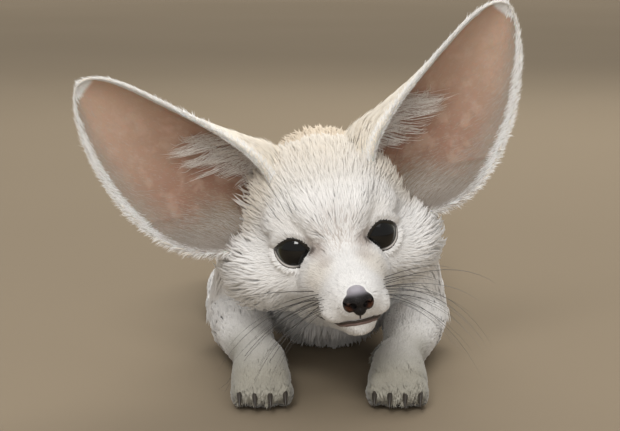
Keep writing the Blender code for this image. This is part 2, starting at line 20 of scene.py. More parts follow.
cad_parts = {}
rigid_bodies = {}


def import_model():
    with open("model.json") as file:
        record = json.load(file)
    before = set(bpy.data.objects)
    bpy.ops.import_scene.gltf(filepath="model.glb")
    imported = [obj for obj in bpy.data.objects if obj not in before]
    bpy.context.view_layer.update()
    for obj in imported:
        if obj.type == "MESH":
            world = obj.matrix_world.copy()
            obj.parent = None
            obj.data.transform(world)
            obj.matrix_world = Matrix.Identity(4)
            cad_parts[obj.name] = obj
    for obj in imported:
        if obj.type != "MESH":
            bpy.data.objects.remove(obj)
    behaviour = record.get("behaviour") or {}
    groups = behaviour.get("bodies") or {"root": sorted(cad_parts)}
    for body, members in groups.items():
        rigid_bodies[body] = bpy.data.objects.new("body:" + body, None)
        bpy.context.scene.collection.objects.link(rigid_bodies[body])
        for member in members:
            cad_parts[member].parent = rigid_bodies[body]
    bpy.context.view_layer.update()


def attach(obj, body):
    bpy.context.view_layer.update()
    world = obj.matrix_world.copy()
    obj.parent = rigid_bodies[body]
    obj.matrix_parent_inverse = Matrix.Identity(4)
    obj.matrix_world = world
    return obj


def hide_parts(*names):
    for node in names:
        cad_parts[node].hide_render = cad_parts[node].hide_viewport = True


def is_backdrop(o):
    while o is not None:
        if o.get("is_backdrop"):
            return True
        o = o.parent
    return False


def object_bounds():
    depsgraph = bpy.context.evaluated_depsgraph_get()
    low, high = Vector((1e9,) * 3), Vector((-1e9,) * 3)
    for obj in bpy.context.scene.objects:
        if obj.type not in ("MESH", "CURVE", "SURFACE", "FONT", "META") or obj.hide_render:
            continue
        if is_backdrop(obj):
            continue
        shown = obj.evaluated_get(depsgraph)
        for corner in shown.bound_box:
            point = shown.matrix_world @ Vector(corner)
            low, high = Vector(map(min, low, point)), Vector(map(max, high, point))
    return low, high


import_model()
MM = 0.001

# %% [markdown]
# ## How the head is carried
#
# Sizes are easiest to read in millimetres and in the axes of the part they belong to, so the head keeps
# axes of its own, with the middle between the eyes as their zero. One matrix takes them to the fox's
# axes: a turn, a nod and a tilt, then the place of the eyes over the floor.

# %% The head's axes
SIDES = (("left", 1), ("right", -1))
HEAD_PLACE = (3, -165, 62)
HEAD_TURN = 6.8
HEAD_NOD = 0.7
HEAD_TILT = -10.2
BODY = Matrix.Scale(MM, 4)


def turned(degrees, axis):
    return Matrix.Rotation(math.radians(degrees), 4, axis)


HEAD = Matrix.Translation(Vector(HEAD_PLACE) * MM) @ turned(HEAD_TURN, "Z") @ turned(HEAD_NOD, "X")
HEAD = HEAD @ turned(HEAD_TILT, "Y") @ BODY


def taken(points, matrix):
    """An array of points, one a row, taken through a matrix."""
    table = np.array(matrix)
    return points @ table[:3, :3].T + table[:3, 3]


def unit(vectors):
    """The same directions, each of length 1."""
    return vectors / np.maximum(np.linalg.norm(vectors, axis=-1, keepdims=True), 1e-12)


def eased(value, start, end):
    """0 up to start, 1 from end on, and a soft step between them."""
    share = np.clip((value - start) / (end - start), 0, 1)
    return share * share * (3 - 2 * share)


print("between the eyes, metres:", [round(value, 4) for value in HEAD.translation])

# %% [markdown]
# ## The camera
#
# The photograph looks at the face from a little above and from close by. Its scale is known at the eyes,
# so the lens follows from the distance, and the aim from where the middle between the eyes stands in the
# picture. The camera needs no shift for that.

# %% Camera
PHOTO_SIZE = (620, 431)
EYES_PIXEL = (337.1, 243.1)
PIXELS_PER_MM = 2.536
CAMERA_RISE = 9
CAMERA_DISTANCE = 0.7
SENSOR = 36

rise = math.radians(CAMERA_RISE)
back = Vector((0, -math.cos(rise), math.sin(rise)))
upward = Vector((0, math.sin(rise), math.cos(rise)))
beside = (PHOTO_SIZE[0] / 2 - EYES_PIXEL[0]) / PIXELS_PER_MM * MM
above = (EYES_PIXEL[1] - PHOTO_SIZE[1] / 2) / PIXELS_PER_MM * MM
aim = HEAD.translation + Vector((beside, 0, 0)) + upward * above

lens = bpy.data.cameras.new("camera")
lens.sensor_width = SENSOR
lens.lens = SENSOR * PIXELS_PER_MM / MM * CAMERA_DISTANCE / PHOTO_SIZE[0]
lens.clip_start = 0.01
camera = bpy.data.objects.new("camera", lens)
camera.location = aim + back * CAMERA_DISTANCE
camera.rotation_mode = "QUATERNION"
camera.rotation_quaternion = (-back).to_track_quat("-Z", "Y")
bpy.context.scene.collection.objects.link(camera)
bpy.context.scene.camera = camera
print("lens, millimetres:", round(lens.lens, 1))

# %% [markdown]
# ## Light and floor
#
# The photograph has the light of a bright overcast day: soft from above, with one brighter patch of sky
# that shows as the small highlight high in each eye. A broad panel overhead and a smaller one in front
# and above do that. Another stands behind, so that the thin edges of the ears shine. The floor is plain,
# pale and matte, and so large that it fills the picture behind the fox.

# %% Light

def panel(name, colour, power, size, rise, turn, distance, shows=True):
    """A square area light that looks at the head, from a rise and a turn about it in degrees."""
    light = bpy.data.lights.new(name, "AREA")
    light.shape = "RECTANGLE"
    light.size, light.size_y = size
    light.energy = power
    light.color = colour
    away = turned(turn, "Z") @ turned(-rise, "X") @ Vector((0, -1, 0))
    obj = bpy.data.objects.new(name, light)
    obj.location = HEAD.translation + away * distance
    obj.rotation_mode = "QUATERNION"
    obj.rotation_quaternion = (-away).to_track_quat("-Z", "Y")
    obj.visible_glossy = shows
    bpy.context.scene.collection.objects.link(obj)


panel("window", (1, 0.99, 0.97), 4.4, (0.34, 0.30), 43, -14, 1.1)
panel("sky", (0.97, 0.98, 1.0), 8.8, (2.0, 2.0), 80, 0, 1.6)
panel("front", (1, 0.98, 0.96), 13.5, (1.4, 0.8), 14, 4, 1.7, shows=False)
panel("rim", (1, 0.98, 0.95), 10, (1.0, 0.6), 38, 165, 1.5, shows=False)
panel("far", (1, 0.98, 0.95), 520, (12.0, 7.0), 40, 180, 8.0, shows=False)

world = bpy.data.worlds.new("studio")
world.use_nodes = True
world.node_tree.nodes["Background"].inputs["Color"].default_value = (0.80, 0.78, 0.75, 1)
world.node_tree.nodes["Background"].inputs["Strength"].default_value = 0.42
bpy.context.scene.world = world
bpy.context.scene.view_settings.view_transform = "Standard"

# %% [markdown]
# ## Painting by sums
#
# Every finish below is a network of nodes, and most of those nodes only do sums. Written as Python, the
# sums read like sums: this small class wraps one socket, and an expression on it adds the Math nodes.
# Everything else goes through one method that sets a node's settings first and then its sockets.


# %% The painter
class Value:
    """A socket of a material; arithmetic on it adds Math nodes."""

    def __init__(self, paint, socket):
        self.paint, self.socket = paint, socket

    def math(self, operation, *values):
        return self.paint.node("ShaderNodeMath", {"operation": operation}, *values)

    def __add__(self, other):
        return self.math("ADD", self, other)

    def __mul__(self, other):
        return self.math("MULTIPLY", self, other)

    def __sub__(self, other):
        return self.math("SUBTRACT", self, other)

    def __rsub__(self, other):
        return self.math("SUBTRACT", other, self)

    def __truediv__(self, other):
        return self.math("DIVIDE", self, other)

    __radd__ = __add__
    __rmul__ = __mul__


class Paint:
    """A material and the nodes that paint it."""

    def __init__(self, name, roughness=0.5, **constants):
        self.material = bpy.data.materials.new(name)
        self.material.use_nodes = True
        self.tree = self.material.node_tree
        self.shader = self.tree.nodes["Principled BSDF"]
        self.shader.inputs["Roughness"].default_value = roughness
        for socket, value in constants.items():
            self.shader.inputs[socket.replace("_", " ")].default_value = value

    def feed(self, socket, value):
        if isinstance(value, Value):
            self.tree.links.new(value.socket, socket)
        elif socket.type == "RGBA" and len(value) == 3:
            socket.default_value = (*value, 1)
        else:
            socket.default_value = value

    def node(self, kind, settings, *values, output=0):
        """A node of that kind: its settings, then the values or links of its sockets in order."""
        made = self.tree.nodes.new(kind)
        for name, setting in settings.items():
            if name == "stops":
                for at, (place, colour) in enumerate(setting):
                    stop = made.color_ramp.elements[at] if at < 2 else made.color_ramp.elements.new(place)
                    stop.position, stop.color = place, (*colour, 1)
            else:
                setattr(made, name, setting)
        for socket, value in zip([socket for socket in made.inputs if socket.enabled], values):
            if value is not None:
                self.feed(socket, value)
        return Value(self, [socket for socket in made.outputs if socket.enabled][output])

    def place(self):
        """Where a point is, in metres of the fox's axes."""
        return self.node("ShaderNodeTexCoord", {}, output=3)

    def attribute(self, name):
        return self.node("ShaderNodeAttribute", {"attribute_name": name}, output=2)

    def vector(self, operation, first, second, output=0):
        return self.node("ShaderNodeVectorMath", {"operation": operation}, first, second, output=output)

    def noise(self, where, scale, detail=3, rough=0.55):
        return self.node("ShaderNodeTexNoise", {}, where, scale, detail, rough)

    def step(self, value, start, end):
        """0 before start, 1 after end, and soft between them; end may lie before start."""
        low, high = sorted((start, end))
        ends = (0, 1) if start < end else (1, 0)
        return self.node("ShaderNodeMapRange", {"interpolation_type": "SMOOTHSTEP"}, value, low, high, *ends)

    def near(self, centre, inner, outer, axes=HEAD):
        """1 within a ball about a point in millimetres of some axes, and 0 outside a larger one."""
        away = self.node(
            "ShaderNodeVectorMath", {"operation": "DISTANCE"}, self.place(), axes @ Vector(centre), output=0)
        return self.step(away, outer * MM, inner * MM)

    def mix(self, factor, first, second, blend="MIX"):
        return self.node("ShaderNodeMix", {"data_type": "RGBA", "blend_type": blend}, factor, first, second)

    def bump(self, height, depth, strength=1.0):
        """Relief: a height of 1 stands that many metres over a height of 0."""
        made = self.node("ShaderNodeBump", {}, strength, depth, None, height)
        self.feed(self.shader.inputs["Normal"], made)


def finished(obj, paint):
    """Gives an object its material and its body."""
    obj.data.materials.clear()
    obj.data.materials.append(paint.material)
    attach(obj, "root")
    return obj


print("painter ready")

# %% [markdown]
# ## The floor
#
# A disc that reaches far behind the fox, with a faint unevenness of tone like a painted studio floor. It is
# no part of the model, so it is marked as stage.

# %% Floor
floor_paint = Paint("floor", roughness=0.85)
clouds = floor_paint.noise(floor_paint.place(), 1.5, 2)
floor_tone = floor_paint.mix(clouds, (0.20, 0.158, 0.105), (0.228, 0.181, 0.124))
floor_paint.feed(floor_paint.shader.inputs["Base Color"], floor_tone)

bm = bmesh.new()
bmesh.ops.create_circle(bm, cap_ends=True, segments=96, radius=12)
mesh = bpy.data.meshes.new("floor")
bm.to_mesh(mesh)
bm.free()
floor = bpy.data.objects.new("floor", mesh)
floor.data.materials.append(floor_paint.material)
bpy.context.scene.collection.objects.link(floor)
floor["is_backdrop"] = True
print("floor radius, metres:", 12)

# %% [markdown]
# ## Shaping forms
#
# Flesh is rounded masses that run into one another. So the skin starts as the same masses as the solid
# model: balls, limbs and lofts through rings. Each is made smaller by the depth of the coat that will lie
# on it, so that the tips of the fur end where the solid model ends.


# %% Balls, lofts and limbs
def poured(bm, part):
    """Adds one bmesh to another: operators are quick on small parts and slow on large wholes."""
    mesh = bpy.data.meshes.new("part")
    part.to_mesh(mesh)
    part.free()
    bm.from_mesh(mesh)
    bpy.data.meshes.remove(mesh)


def ball(whole, centre, radii, axes, around=28, up=16, turn=None):
    """An ellipsoid, in millimetres of the axes that are given."""
    bm = bmesh.new()
    place = axes @ Matrix.Translation(centre) @ (turn or Matrix()) @ Matrix.Diagonal((*radii, 1))
    bmesh.ops.create_uvsphere(bm, u_segments=around, v_segments=up, radius=1, matrix=place)
    poured(whole, bm)


def loft(whole, rings, axes, sides=24, across=(1, 0, 0), pointed=False):
    """A closed tube through rings of (centre, half width, half height), with flat or pointed ends."""
    bm = bmesh.new()
    centres = [Vector(ring[0]) for ring in rings]
    edges, before = [], None
    for at, (_, half_width, half_height) in enumerate(rings):
        along = (centres[min(at + 1, len(rings) - 1)] - centres[max(at - 1, 0)]).normalized()
        up = along.cross(Vector(across)).normalized()
        turn = Matrix((up.cross(along), up, along)).transposed().to_4x4()
        size = Matrix.Diagonal((half_width, half_height, 1, 1))
        place = axes @ Matrix.Translation(centres[at]) @ turn @ size
        if before is None:
            start = bmesh.ops.create_circle(bm, cap_ends=True, segments=sides, radius=1, matrix=place)
            edges = list({edge for vert in start["verts"] for edge in vert.link_edges})
        else:
            grown = bmesh.ops.extrude_edge_only(bm, edges=edges)["geom"]
            verts = [part for part in grown if isinstance(part, bmesh.types.BMVert)]
            edges = [part for part in grown if isinstance(part, bmesh.types.BMEdge)]
            bmesh.ops.transform(bm, matrix=place @ before.inverted(), verts=verts)
        before = place
    if pointed:
        bmesh.ops.pointmerge(bm, verts=verts, merge_co=axes @ centres[-1])
    else:
        bmesh.ops.contextual_create(bm, geom=edges)
    poured(whole, bm)


def line_loft(bm, rings, coat, axes):
    """A loft through rings of (y, z, half width, half height) on the middle line, less the coat."""
    loft(bm, [((0, y, z), wide - coat, high - coat) for y, z, wide, high in rings], axes)


def limb(bm, points, side, coat):
    """A round limb through points of (x, y, z, radius), less the coat."""
    for start, end in zip(points, points[1:]):
        first, last = (Vector((side * x, y, z)) for x, y, z, _ in (start, end))
        thick, thin = start[3] - coat, end[3] - coat
        loft(bm, [(first, thick, thick), (last, thin, thin)], BODY)
        ball(bm, first, (thick,) * 3, BODY)
    ball(bm, last, (thin,) * 3, BODY)


def object_of(name, bm):
    """The bmesh as a smooth object of the scene, with its faces pointing out."""
    bmesh.ops.recalc_face_normals(bm, faces=bm.faces)
    mesh = bpy.data.meshes.new(name)
    bm.to_mesh(mesh)
    bm.free()
    mesh.shade_smooth()
    obj = bpy.data.objects.new(name, mesh)
    bpy.context.scene.collection.objects.link(obj)
    return obj


def melted(name, bm, voxel, smoothing):
    """One smooth closed skin around overlapping closed forms, as an object."""
    rough = object_of(name, bm)
    remesh = rough.modifiers.new("remesh", "REMESH")
    remesh.mode = "VOXEL"
    remesh.voxel_size = voxel * MM
    smooth = rough.modifiers.new("smooth", "SMOOTH")
    smooth.factor = 0.5
    smooth.iterations = smoothing
    shown = rough.evaluated_get(bpy.context.evaluated_depsgraph_get())
    mesh = bpy.data.meshes.new_from_object(shown)
    bpy.data.objects.remove(rough)
    mesh.name = name
    mesh.shade_smooth()
    obj = bpy.data.objects.new(name, mesh)
    bpy.context.scene.collection.objects.link(obj)
    return obj


print("forms ready")

# %% [markdown]
# ## The fox's own sizes
#
# These are the sizes of the solid model, in millimetres and outside the coat, with the coat's depth beside
# each mass. A fox's face carries fur of 2 or 3 mm, its cheeks and neck three times that, and its trunk
# more again.

# %% Sizes of the masses
HEAD_MASSES = (
    # centre, radii and coat on the middle line
    ((0, 28, 6), (34, 36, 31), 3.6),
    ((0, 1, 6), (25, 15, 17), 1.7),
    ((0, 32, -14), (31, 28, 20), 5.0),
)
HEAD_PAIRS = (
    # the same for each mass that comes in a pair, on the left side
    ((19, 22, -8), (25, 27, 20), 5.6),
    ((12, 2, 8), (14, 11, 10), 1.4),
    ((7, -27, -19), (7, 10, 6.5), 0.8),
)
MUZZLE_RINGS = (
    # y, z, half width, half height
    (10, -8, 25, 18),
    (-4, -10.5, 20, 15),
    (-14, -12.5, 16, 12.5),
    (-25, -14.8, 13, 10.5),
    (-34, -15.8, 10.8, 8.8),
    (-40, -16, 7.5, 6),
)
MUZZLE_COAT = 1.3
JAW_RINGS = (
    (14, -23, 20, 12),
    (-4, -24, 14, 9),
    (-20, -25, 10.5, 7),
    (-31, -25.4, 8, 6),
    (-36, -25.4, 4.5, 4),
)
JAW_COAT = 1.4
NECK_RINGS = (
    (-78, 50, 31, 36),
    (-100, 54, 30, 34),
    (-120, 60, 30, 32),
    (-142, 63, 28, 28),
)
NECK_COAT = 7
TORSO_RINGS = (
    (-118, 51, 25, 25),
    (-104, 48, 34, 36),
    (-80, 43.5, 40, 45),
    (-44, 39.5, 41.5, 43),
    (-6, 36.5, 39, 39),
    (32, 37.5, 40, 40.5),
    (68, 40.5, 43, 44.5),
    (96, 41.5, 38, 41),
    (118, 42, 26, 28),
    (130, 43, 13, 14),
)
TORSO_COAT = 8
FORELEG = (
    # x, y, z and radius from the body down, on the left side
    (25, -94, 55, 16),
    (30, -84, 40, 17),
    (37, -77, 19, 16),
    (37.5, -96, 15, 14.5),
    (34, -122, 13, 12.5),
    (29.5, -148, 12, 11),
    (28, -160, 11.5, 10.6),
)
FORELEG_COAT = 3.0
HINDLEG = (
    (27, 88, 46, 20),
    (31, 62, 40, 24),
    (35, 38, 33, 20),
    (37, 24, 27, 16),
    (40, 50, 26, 14),
    (42, 78, 21, 13),
)
HINDLEG_COAT = 5
HINDFOOT = (
    (44, 84, 13, 12),
    (47, 60, 10.5, 10.5),
    (48.5, 36, 9.5, 9.8),
    (49, 16, 10, 11.2),
    (49, 3, 10, 11.4),
)
HINDFOOT_COAT = 2.2
TAIL_RINGS = (
    (0, 118, 46, 11),
    (1, 140, 36, 15),
    (7, 164, 25, 19),
    (17, 194, 21.5, 22.5),
    (28, 224, 22, 24),
    (36, 254, 22, 24),
    (38, 284, 21.5, 23),
    (34, 312, 20.5, 19.5),
    (26, 334, 18, 12),
    (20, 348, 16, 3),
)
TAIL_CORE = 0.5
PAW_LENGTH = 40
PAW_COAT = 1.2
TOE_RADII = (4.3, 8.6, 6.6)
CLAW_LENGTH = 7.5
PAWS = (
    # name, x and y of the wrist or ankle on the left side, turn, wrist radius, spread of the toes
    ("forepaw", 28, -152, -3, 10.4, 5.9),
    ("hindpaw", 49, 16, -4, 9.4, 5.2),
)
print("masses of the head:", len(HEAD_MASSES) + 2 * len(HEAD_PAIRS))

# %% [markdown]
# ## One skin
#
# The masses are melted together by a voxel remesh, so that no seam runs between head, neck, trunk, legs
# and tail. The tail's core lies low in its brush, because the brush rests on the floor. What would reach
# under the floor is pressed flat on it, as soft pads are.


# %% The skin's masses
def tail_core(share):
    """Middle and radius of the tail's core at a share of its length."""
    place = min(max(share, 0), 1) * (len(TAIL_RINGS) - 1)
    before = min(int(place), len(TAIL_RINGS) - 2)
    ring = Vector(TAIL_RINGS[before]).lerp(Vector(TAIL_RINGS[before + 1]), place - before)
    x, y, z, radius = ring
    return Vector((x, y, z - 0.3 * radius)), TAIL_CORE * radius


def paw_axes(side, x, y, turn):
    return BODY @ Matrix.Translation((side * x, y, 0)) @ turned(side * turn, "Z")


def toes(spread):
    """Middle of each toe in the paw's axes, in millimetres."""
    return [(toe * spread, -PAW_LENGTH + TOE_RADII[1] + 2.6 * (abs(toe) - 0.5), 5.8) for toe in (-1.5, -0.5, 0.5, 1.5)]


def paw_masses(bm, axes, wrist, spread):
    rings = (
        ((0, 5, 11), wrist - PAW_COAT, wrist - PAW_COAT),
        ((0, -10, 10), wrist, 9),
        ((0, -22, 8.6), 2.2 * spread - PAW_COAT, 7.6),
        ((0, -30, 6), 1.9 * spread - PAW_COAT, 4),
    )
    loft(bm, rings, axes)
    for middle in toes(spread):
        ball(bm, middle, [radius - PAW_COAT for radius in TOE_RADII], axes)


SKIN_VOXEL = 1.5
SKIN_SMOOTHING = 12

bm = bmesh.new()
for centre, radii, coat in HEAD_MASSES:
    ball(bm, centre, [radius - coat for radius in radii], HEAD)
for (x, y, z), radii, coat in HEAD_PAIRS:
    for _, side in SIDES:
        ball(bm, (side * x, y, z), [radius - coat for radius in radii], HEAD)
line_loft(bm, MUZZLE_RINGS, MUZZLE_COAT, HEAD)
line_loft(bm, JAW_RINGS, JAW_COAT, HEAD)
line_loft(bm, NECK_RINGS, NECK_COAT, BODY)
line_loft(bm, TORSO_RINGS, TORSO_COAT, BODY)
for _, side in SIDES:
    limb(bm, FORELEG, side, FORELEG_COAT)
    limb(bm, HINDLEG, side, HINDLEG_COAT)
    limb(bm, HINDFOOT, side, HINDFOOT_COAT)
    for _, x, y, turn, wrist, spread in PAWS:
        paw_masses(bm, paw_axes(side, x, y, turn), wrist, spread)
core = [tail_core(0.94 * step / 12) for step in range(13)]
loft(bm, [(centre, radius, radius) for centre, radius in core], BODY)
skin = melted("skin", bm, SKIN_VOXEL, SKIN_SMOOTHING)
print("skin:", len(skin.data.vertices), "points")

# %% [markdown]
# ## A finer face
#
# Lids and lips need more points than a flank. The faces of the muzzle, brow and chin are divided once, and
# the new points are relaxed so that no step is left from the coarser skin.

# %% Finer face
FACE_BACK = 16
FACE_FLOOR = -37
MELTINGS = 16
REGAINED = 1.1
HEAD_INSIDE = HEAD.inverted()


def points_of(mesh):
    flat = np.empty(3 * len(mesh.vertices))
    mesh.vertices.foreach_get("co", flat)
    return flat.reshape(-1, 3)


def normals_of(mesh):
    flat = np.empty(3 * len(mesh.vertices))
    mesh.vertex_normals.foreach_get("vector", flat)
    return flat.reshape(-1, 3)


def with_points(mesh, points):
    mesh.vertices.foreach_set("co", points.astype(np.float32).ravel())
    mesh.update()


def blurred(field, mesh, times, weight=1.0):
    """The field after each point has taken the mean of itself and its neighbours, several times."""
    ends = np.empty(2 * len(mesh.edges), np.int32)
    mesh.edges.foreach_get("vertices", ends)
    ends = np.concatenate((ends.reshape(-1, 2), ends.reshape(-1, 2)[:, ::-1]))
    table = field.reshape(len(field), -1).copy()
    share = 1 / (1 + np.bincount(ends[:, 0], minlength=len(table)))
    for _ in range(times):
        for column in range(table.shape[1]):
            near = np.bincount(ends[:, 0], weights=table[ends[:, 1], column], minlength=len(table))
            table[:, column] += weight * ((table[:, column] + near) * share - table[:, column])
    return table.reshape(field.shape)


points = points_of(skin.data)
x, y, z = taken(points, HEAD_INSIDE).T
melt = eased(y, -26, -10) * (1 - eased(y, 40, 58)) * (1 - eased(abs(z), 38, 50))
points = blurred(points, skin.data, MELTINGS, melt)
with_points(skin.data, points)
with_points(skin.data, points + normals_of(skin.data) * (melt * REGAINED * MM)[:, None])

bm = bmesh.new()
bm.from_mesh(skin.data)
face = set()
for vert in bm.verts:
    x, y, z = HEAD_INSIDE @ vert.co
    if y < FACE_BACK and z > FACE_FLOOR and abs(x) < 40:
        face.add(vert)
bmesh.ops.subdivide_edges(
    bm, edges=[edge for edge in bm.edges if face.issuperset(edge.verts)], cuts=1, use_grid_fill=True)
fine = [vert for vert in bm.verts if (HEAD_INSIDE @ vert.co).y < FACE_BACK + 2 and (HEAD_INSIDE @ vert.co).z > FACE_FLOOR]
for _ in range(2):
    bmesh.ops.smooth_vert(bm, verts=fine, factor=0.5, use_axis_x=True, use_axis_y=True, use_axis_z=True)
bm.to_mesh(skin.data)
bm.free()
skin.data.shade_smooth()
print("skin with a finer face:", len(skin.data.vertices), "points")

# %% [markdown]
# ## Where the eyes open
#
# An eye is a ball, and what shows of it is cut out by the lids. This fox's upper lid is a high arch, its
# lower lid a flatter one that hangs lowest on the outer side, and at the inner corner the line runs out
# into the tear duct. The line is worked out once, as directions from the middle of the eyeball, and then
# serves the skin, the lids and the fur.

# %% The line of the lids
EYE_SPACING = 30.5
EYE_RADIUS = 9
EYE_DEPTH = 3.5
GAZE_OUT = 18
EYE_SLANT = 19
LID_HALF_LENGTH = 8.2
LID_CORNER_HEIGHT = -1.3
UPPER_LID = 6.3
LOWER_LID = 3.7
UPPER_LEAN = 0.12
LOWER_LEAN = 0.4
DUCT = (1.2, 0.7)
LID_STEPS = 96


def eye_axes(side):
    """From an eye's own axes, which look along -Y, to the fox's."""
    gaze = turned(side * GAZE_OUT, "Z") @ turned(-side * EYE_SLANT, "Y")
    return HEAD @ Matrix.Translation((side * EYE_SPACING / 2, EYE_DEPTH, 0)) @ gaze


def lid_line(side):
    """Directions to points round the opening, and for each the way out along the ball."""
    turn = np.linspace(0, math.tau, LID_STEPS, endpoint=False)
    x, upper = np.cos(turn), np.sin(turn) > 0
    arch = np.where(upper, UPPER_LID, -LOWER_LID) * (1 + np.where(upper, UPPER_LEAN, LOWER_LEAN) * x)
    duct = np.maximum(0, -x - 0.7) / 0.3
    across = side * (LID_HALF_LENGTH * x - DUCT[0] * duct)
    high = LID_CORNER_HEIGHT + arch * (1 - x**2) - DUCT[1] * duct
    deep = -np.sqrt(np.maximum(EYE_RADIUS**2 - across**2 - high**2, 0.5))
    line = unit(np.stack((across, deep, high), 1))
    run = np.roll(line, -1, 0) - np.roll(line, 1, 0)
    out = unit(np.cross(run, line)) * side
    for _ in range(4):
        out = unit(out + np.roll(out, 1, 0) + np.roll(out, -1, 0))
        out = unit(out - (out * line).sum(1, keepdims=True) * line)
    return line, out


def enclosed(places, outline):
    """Which places of a plane lie inside a closed outline."""
    x, y = places.T
    crossings = np.zeros(len(places), int)
    for (x1, y1), (x2, y2) in zip(outline, np.roll(outline, -1, 0)):
        if y1 != y2:
            crossings += ((y1 > y) != (y2 > y)) & (x < (x2 - x1) * (y - y1) / (y2 - y1) + x1)
    return crossings % 2 == 1


def lid_distance(places, side, reach):
    """How far places in an eye's axes lie outside its opening, in millimetres along the ball."""
    line, _ = lid_line(side)
    ways = unit(places)
    angle = np.arccos(np.clip((ways @ line.T).max(1), -1, 1))
    inside = enclosed(ways[:, (0, 2)], line[:, (0, 2)]) & (ways[:, 1] < 0)
    return np.maximum(EYE_RADIUS * np.where(inside, -angle, angle), np.linalg.norm(places, axis=1) - reach)


opening, outward = lid_line(1)
print("opening, millimetres:", np.round(EYE_RADIUS * (opening.max(0) - opening.min(0)), 1))

# %% [markdown]
# ## Sockets, mouth and the bowls of the ears
#
# Four shapes are pressed into the skin point by point, which keeps it one closed surface. Behind each
# opening the skin sinks into the eyeball, and around it the skin stands just over the ball as a lid does
# and then runs out into brow and cheek. The mouth is a narrow groove. The bowl is the hollow that each
# ear's funnel ends in.

# %% Ear axes
EAR_LENGTH = 89.5
EAR_ROOT = (30, 16, 10)
EAR_AXIS = (0.645, 0.12, 0.755)
EAR_FACING = (0.34, -0.94, 0.0)
EAR_BOWL = ((2, 9.5, 9), (14, 13.5, 15))


def ear_axes(side):
    """From the ear's own axes, across, behind and along, to the fox's."""
    along = Vector(EAR_AXIS).normalized()
    facing = Vector(EAR_FACING)
    facing = (facing - facing.dot(along) * along).normalized()
    turn = Matrix((along.cross(facing), -facing, along)).transposed().to_4x4()
    return HEAD @ Matrix.Diagonal((side, 1, 1, 1)) @ Matrix.Translation(EAR_ROOT) @ turn


# %% Pressing
LID_TOP = 9.9
LID_SUNK = 7.4
SOCKET_REACH = 40
MOUTH_LINE = (
    (14.0, 0.4, -26.0), (12.4, -3.5, -27.3), (11.0, -9, -27.3), (10.3, -16.6, -26.5),
    (9.9, -23, -25.3), (8.4, -29, -24.3), (5, -34.2, -23.6), (0, -36.4, -23.2))
PHILTRUM = ((0, -41.5, -20.2), (0, -37.5, -23.0))
MOUTH_DEPTH = 1.1
MOUTH_HALF_WIDTH = 0.8


def with_sockets(points):
    """The skin sunk into both eyeballs inside the lids and laid over them outside."""
    for _, side in SIDES:
        axes = eye_axes(side)
        local = taken(points, axes.inverted())
        close = np.flatnonzero(np.linalg.norm(local, axis=1) < 20)
        local = local[close]
        radius = np.linalg.norm(local, axis=1)
        outside = lid_distance(local, side, SOCKET_REACH)
        sunk = LID_SUNK + (LID_TOP - LID_SUNK) * eased(outside, 0.1, 1.2)
        spare = np.maximum(radius, LID_TOP) - LID_TOP
        pressed = sunk + spare * eased(outside, 0.8, 6.5)
        front = eased(-local[:, 1] / radius, -0.4, 0.1) * (1 - eased(radius, 17, 20))
        radius += (pressed - radius) * front
        points[close] = taken(unit(local) * radius[:, None], axes)
    return points


def mouth_path(steps=6):
    """The line of the mouth from corner to corner, laid on the skin, in metres."""
    half = [Vector(point) for point in MOUTH_LINE]
    whole = half + [Vector((-x, y, z)) for x, y, z in reversed(half[:-1])]
    path = [a.lerp(b, step / steps) for a, b in zip(whole, whole[1:]) for step in range(steps)] + [whole[-1]]
    path = np.array([HEAD @ point for point in path])
    for _ in range(3):
        path = np.array([skin_tree.find_nearest(point)[0] for point in path])
        for _ in range(4):
            path[1:-1] = (path[:-2] + 2 * path[1:-1] + path[2:]) / 4
    return path


def with_mouth(points, normals, path):
    gap = np.full(len(points), np.inf)
    for place in path:
        gap = np.minimum(gap, np.linalg.norm(points - place, axis=1) / MM)
    depth = MOUTH_DEPTH * np.exp(-((gap / MOUTH_HALF_WIDTH) ** 2))
    return points - normals * (depth * MM)[:, None]


def in_bowl(points, side, grown=1.0):
    """The points in the axes of a ball of radius 1 that stands for the bowl, and which lie in it."""
    centre, radii = EAR_BOWL
    ball_axes = ear_axes(side) @ Matrix.Translation(centre) @ Matrix.Diagonal((*radii, 1))
    local = taken(points, ball_axes.inverted())
    return ball_axes, local, np.linalg.norm(local, axis=1) < grown


def with_bowls(points):
    for _, side in SIDES:
        axes, local, inside = in_bowl(points, side)
        floor_of = -np.sqrt(np.maximum(1 - local[inside, 0] ** 2 - local[inside, 1] ** 2, 0))
        local[inside, 2] = floor_of
        points[inside] = taken(local, axes)[inside]
    return points


def tree_of(mesh):
    mesh.calc_loop_triangles()
    corners = np.empty(3 * len(mesh.loop_triangles), np.int32)
    mesh.loop_triangles.foreach_get("vertices", corners)
    return BVHTree.FromPolygons(points_of(mesh).tolist(), corners.reshape(-1, 3).tolist())


skin_tree = tree_of(skin.data)
mouth = mouth_path()
top_end, low_end = (HEAD @ Vector(point) for point in PHILTRUM)
philtrum = np.array([skin_tree.find_nearest(top_end.lerp(low_end, step / 6))[0] for step in range(7)])
points = with_mouth(points_of(skin.data), normals_of(skin.data), mouth)
points = with_bowls(with_sockets(points))
points[:, 2] = np.maximum(points[:, 2], 0.3 * MM)
with_points(skin.data, points)
skin_tree = tree_of(skin.data)
print("mouth, millimetres:", round(np.linalg.norm(np.diff(mouth, axis=0), axis=1).sum() / MM, 1))

# %% [markdown]
# ## The lie of the coat
#
# Fur is combed. On the head it runs away from the nose, on the trunk backwards and down, on a leg towards
# the toes, on the tail towards its tip. So each point of the skin is given to the mass it lies on, and
# takes the direction, the length and the lift of the fur there. Blurring those over the skin from point to
# neighbouring point melts the borders, and two surfaces that only pass close by keep their own coats.

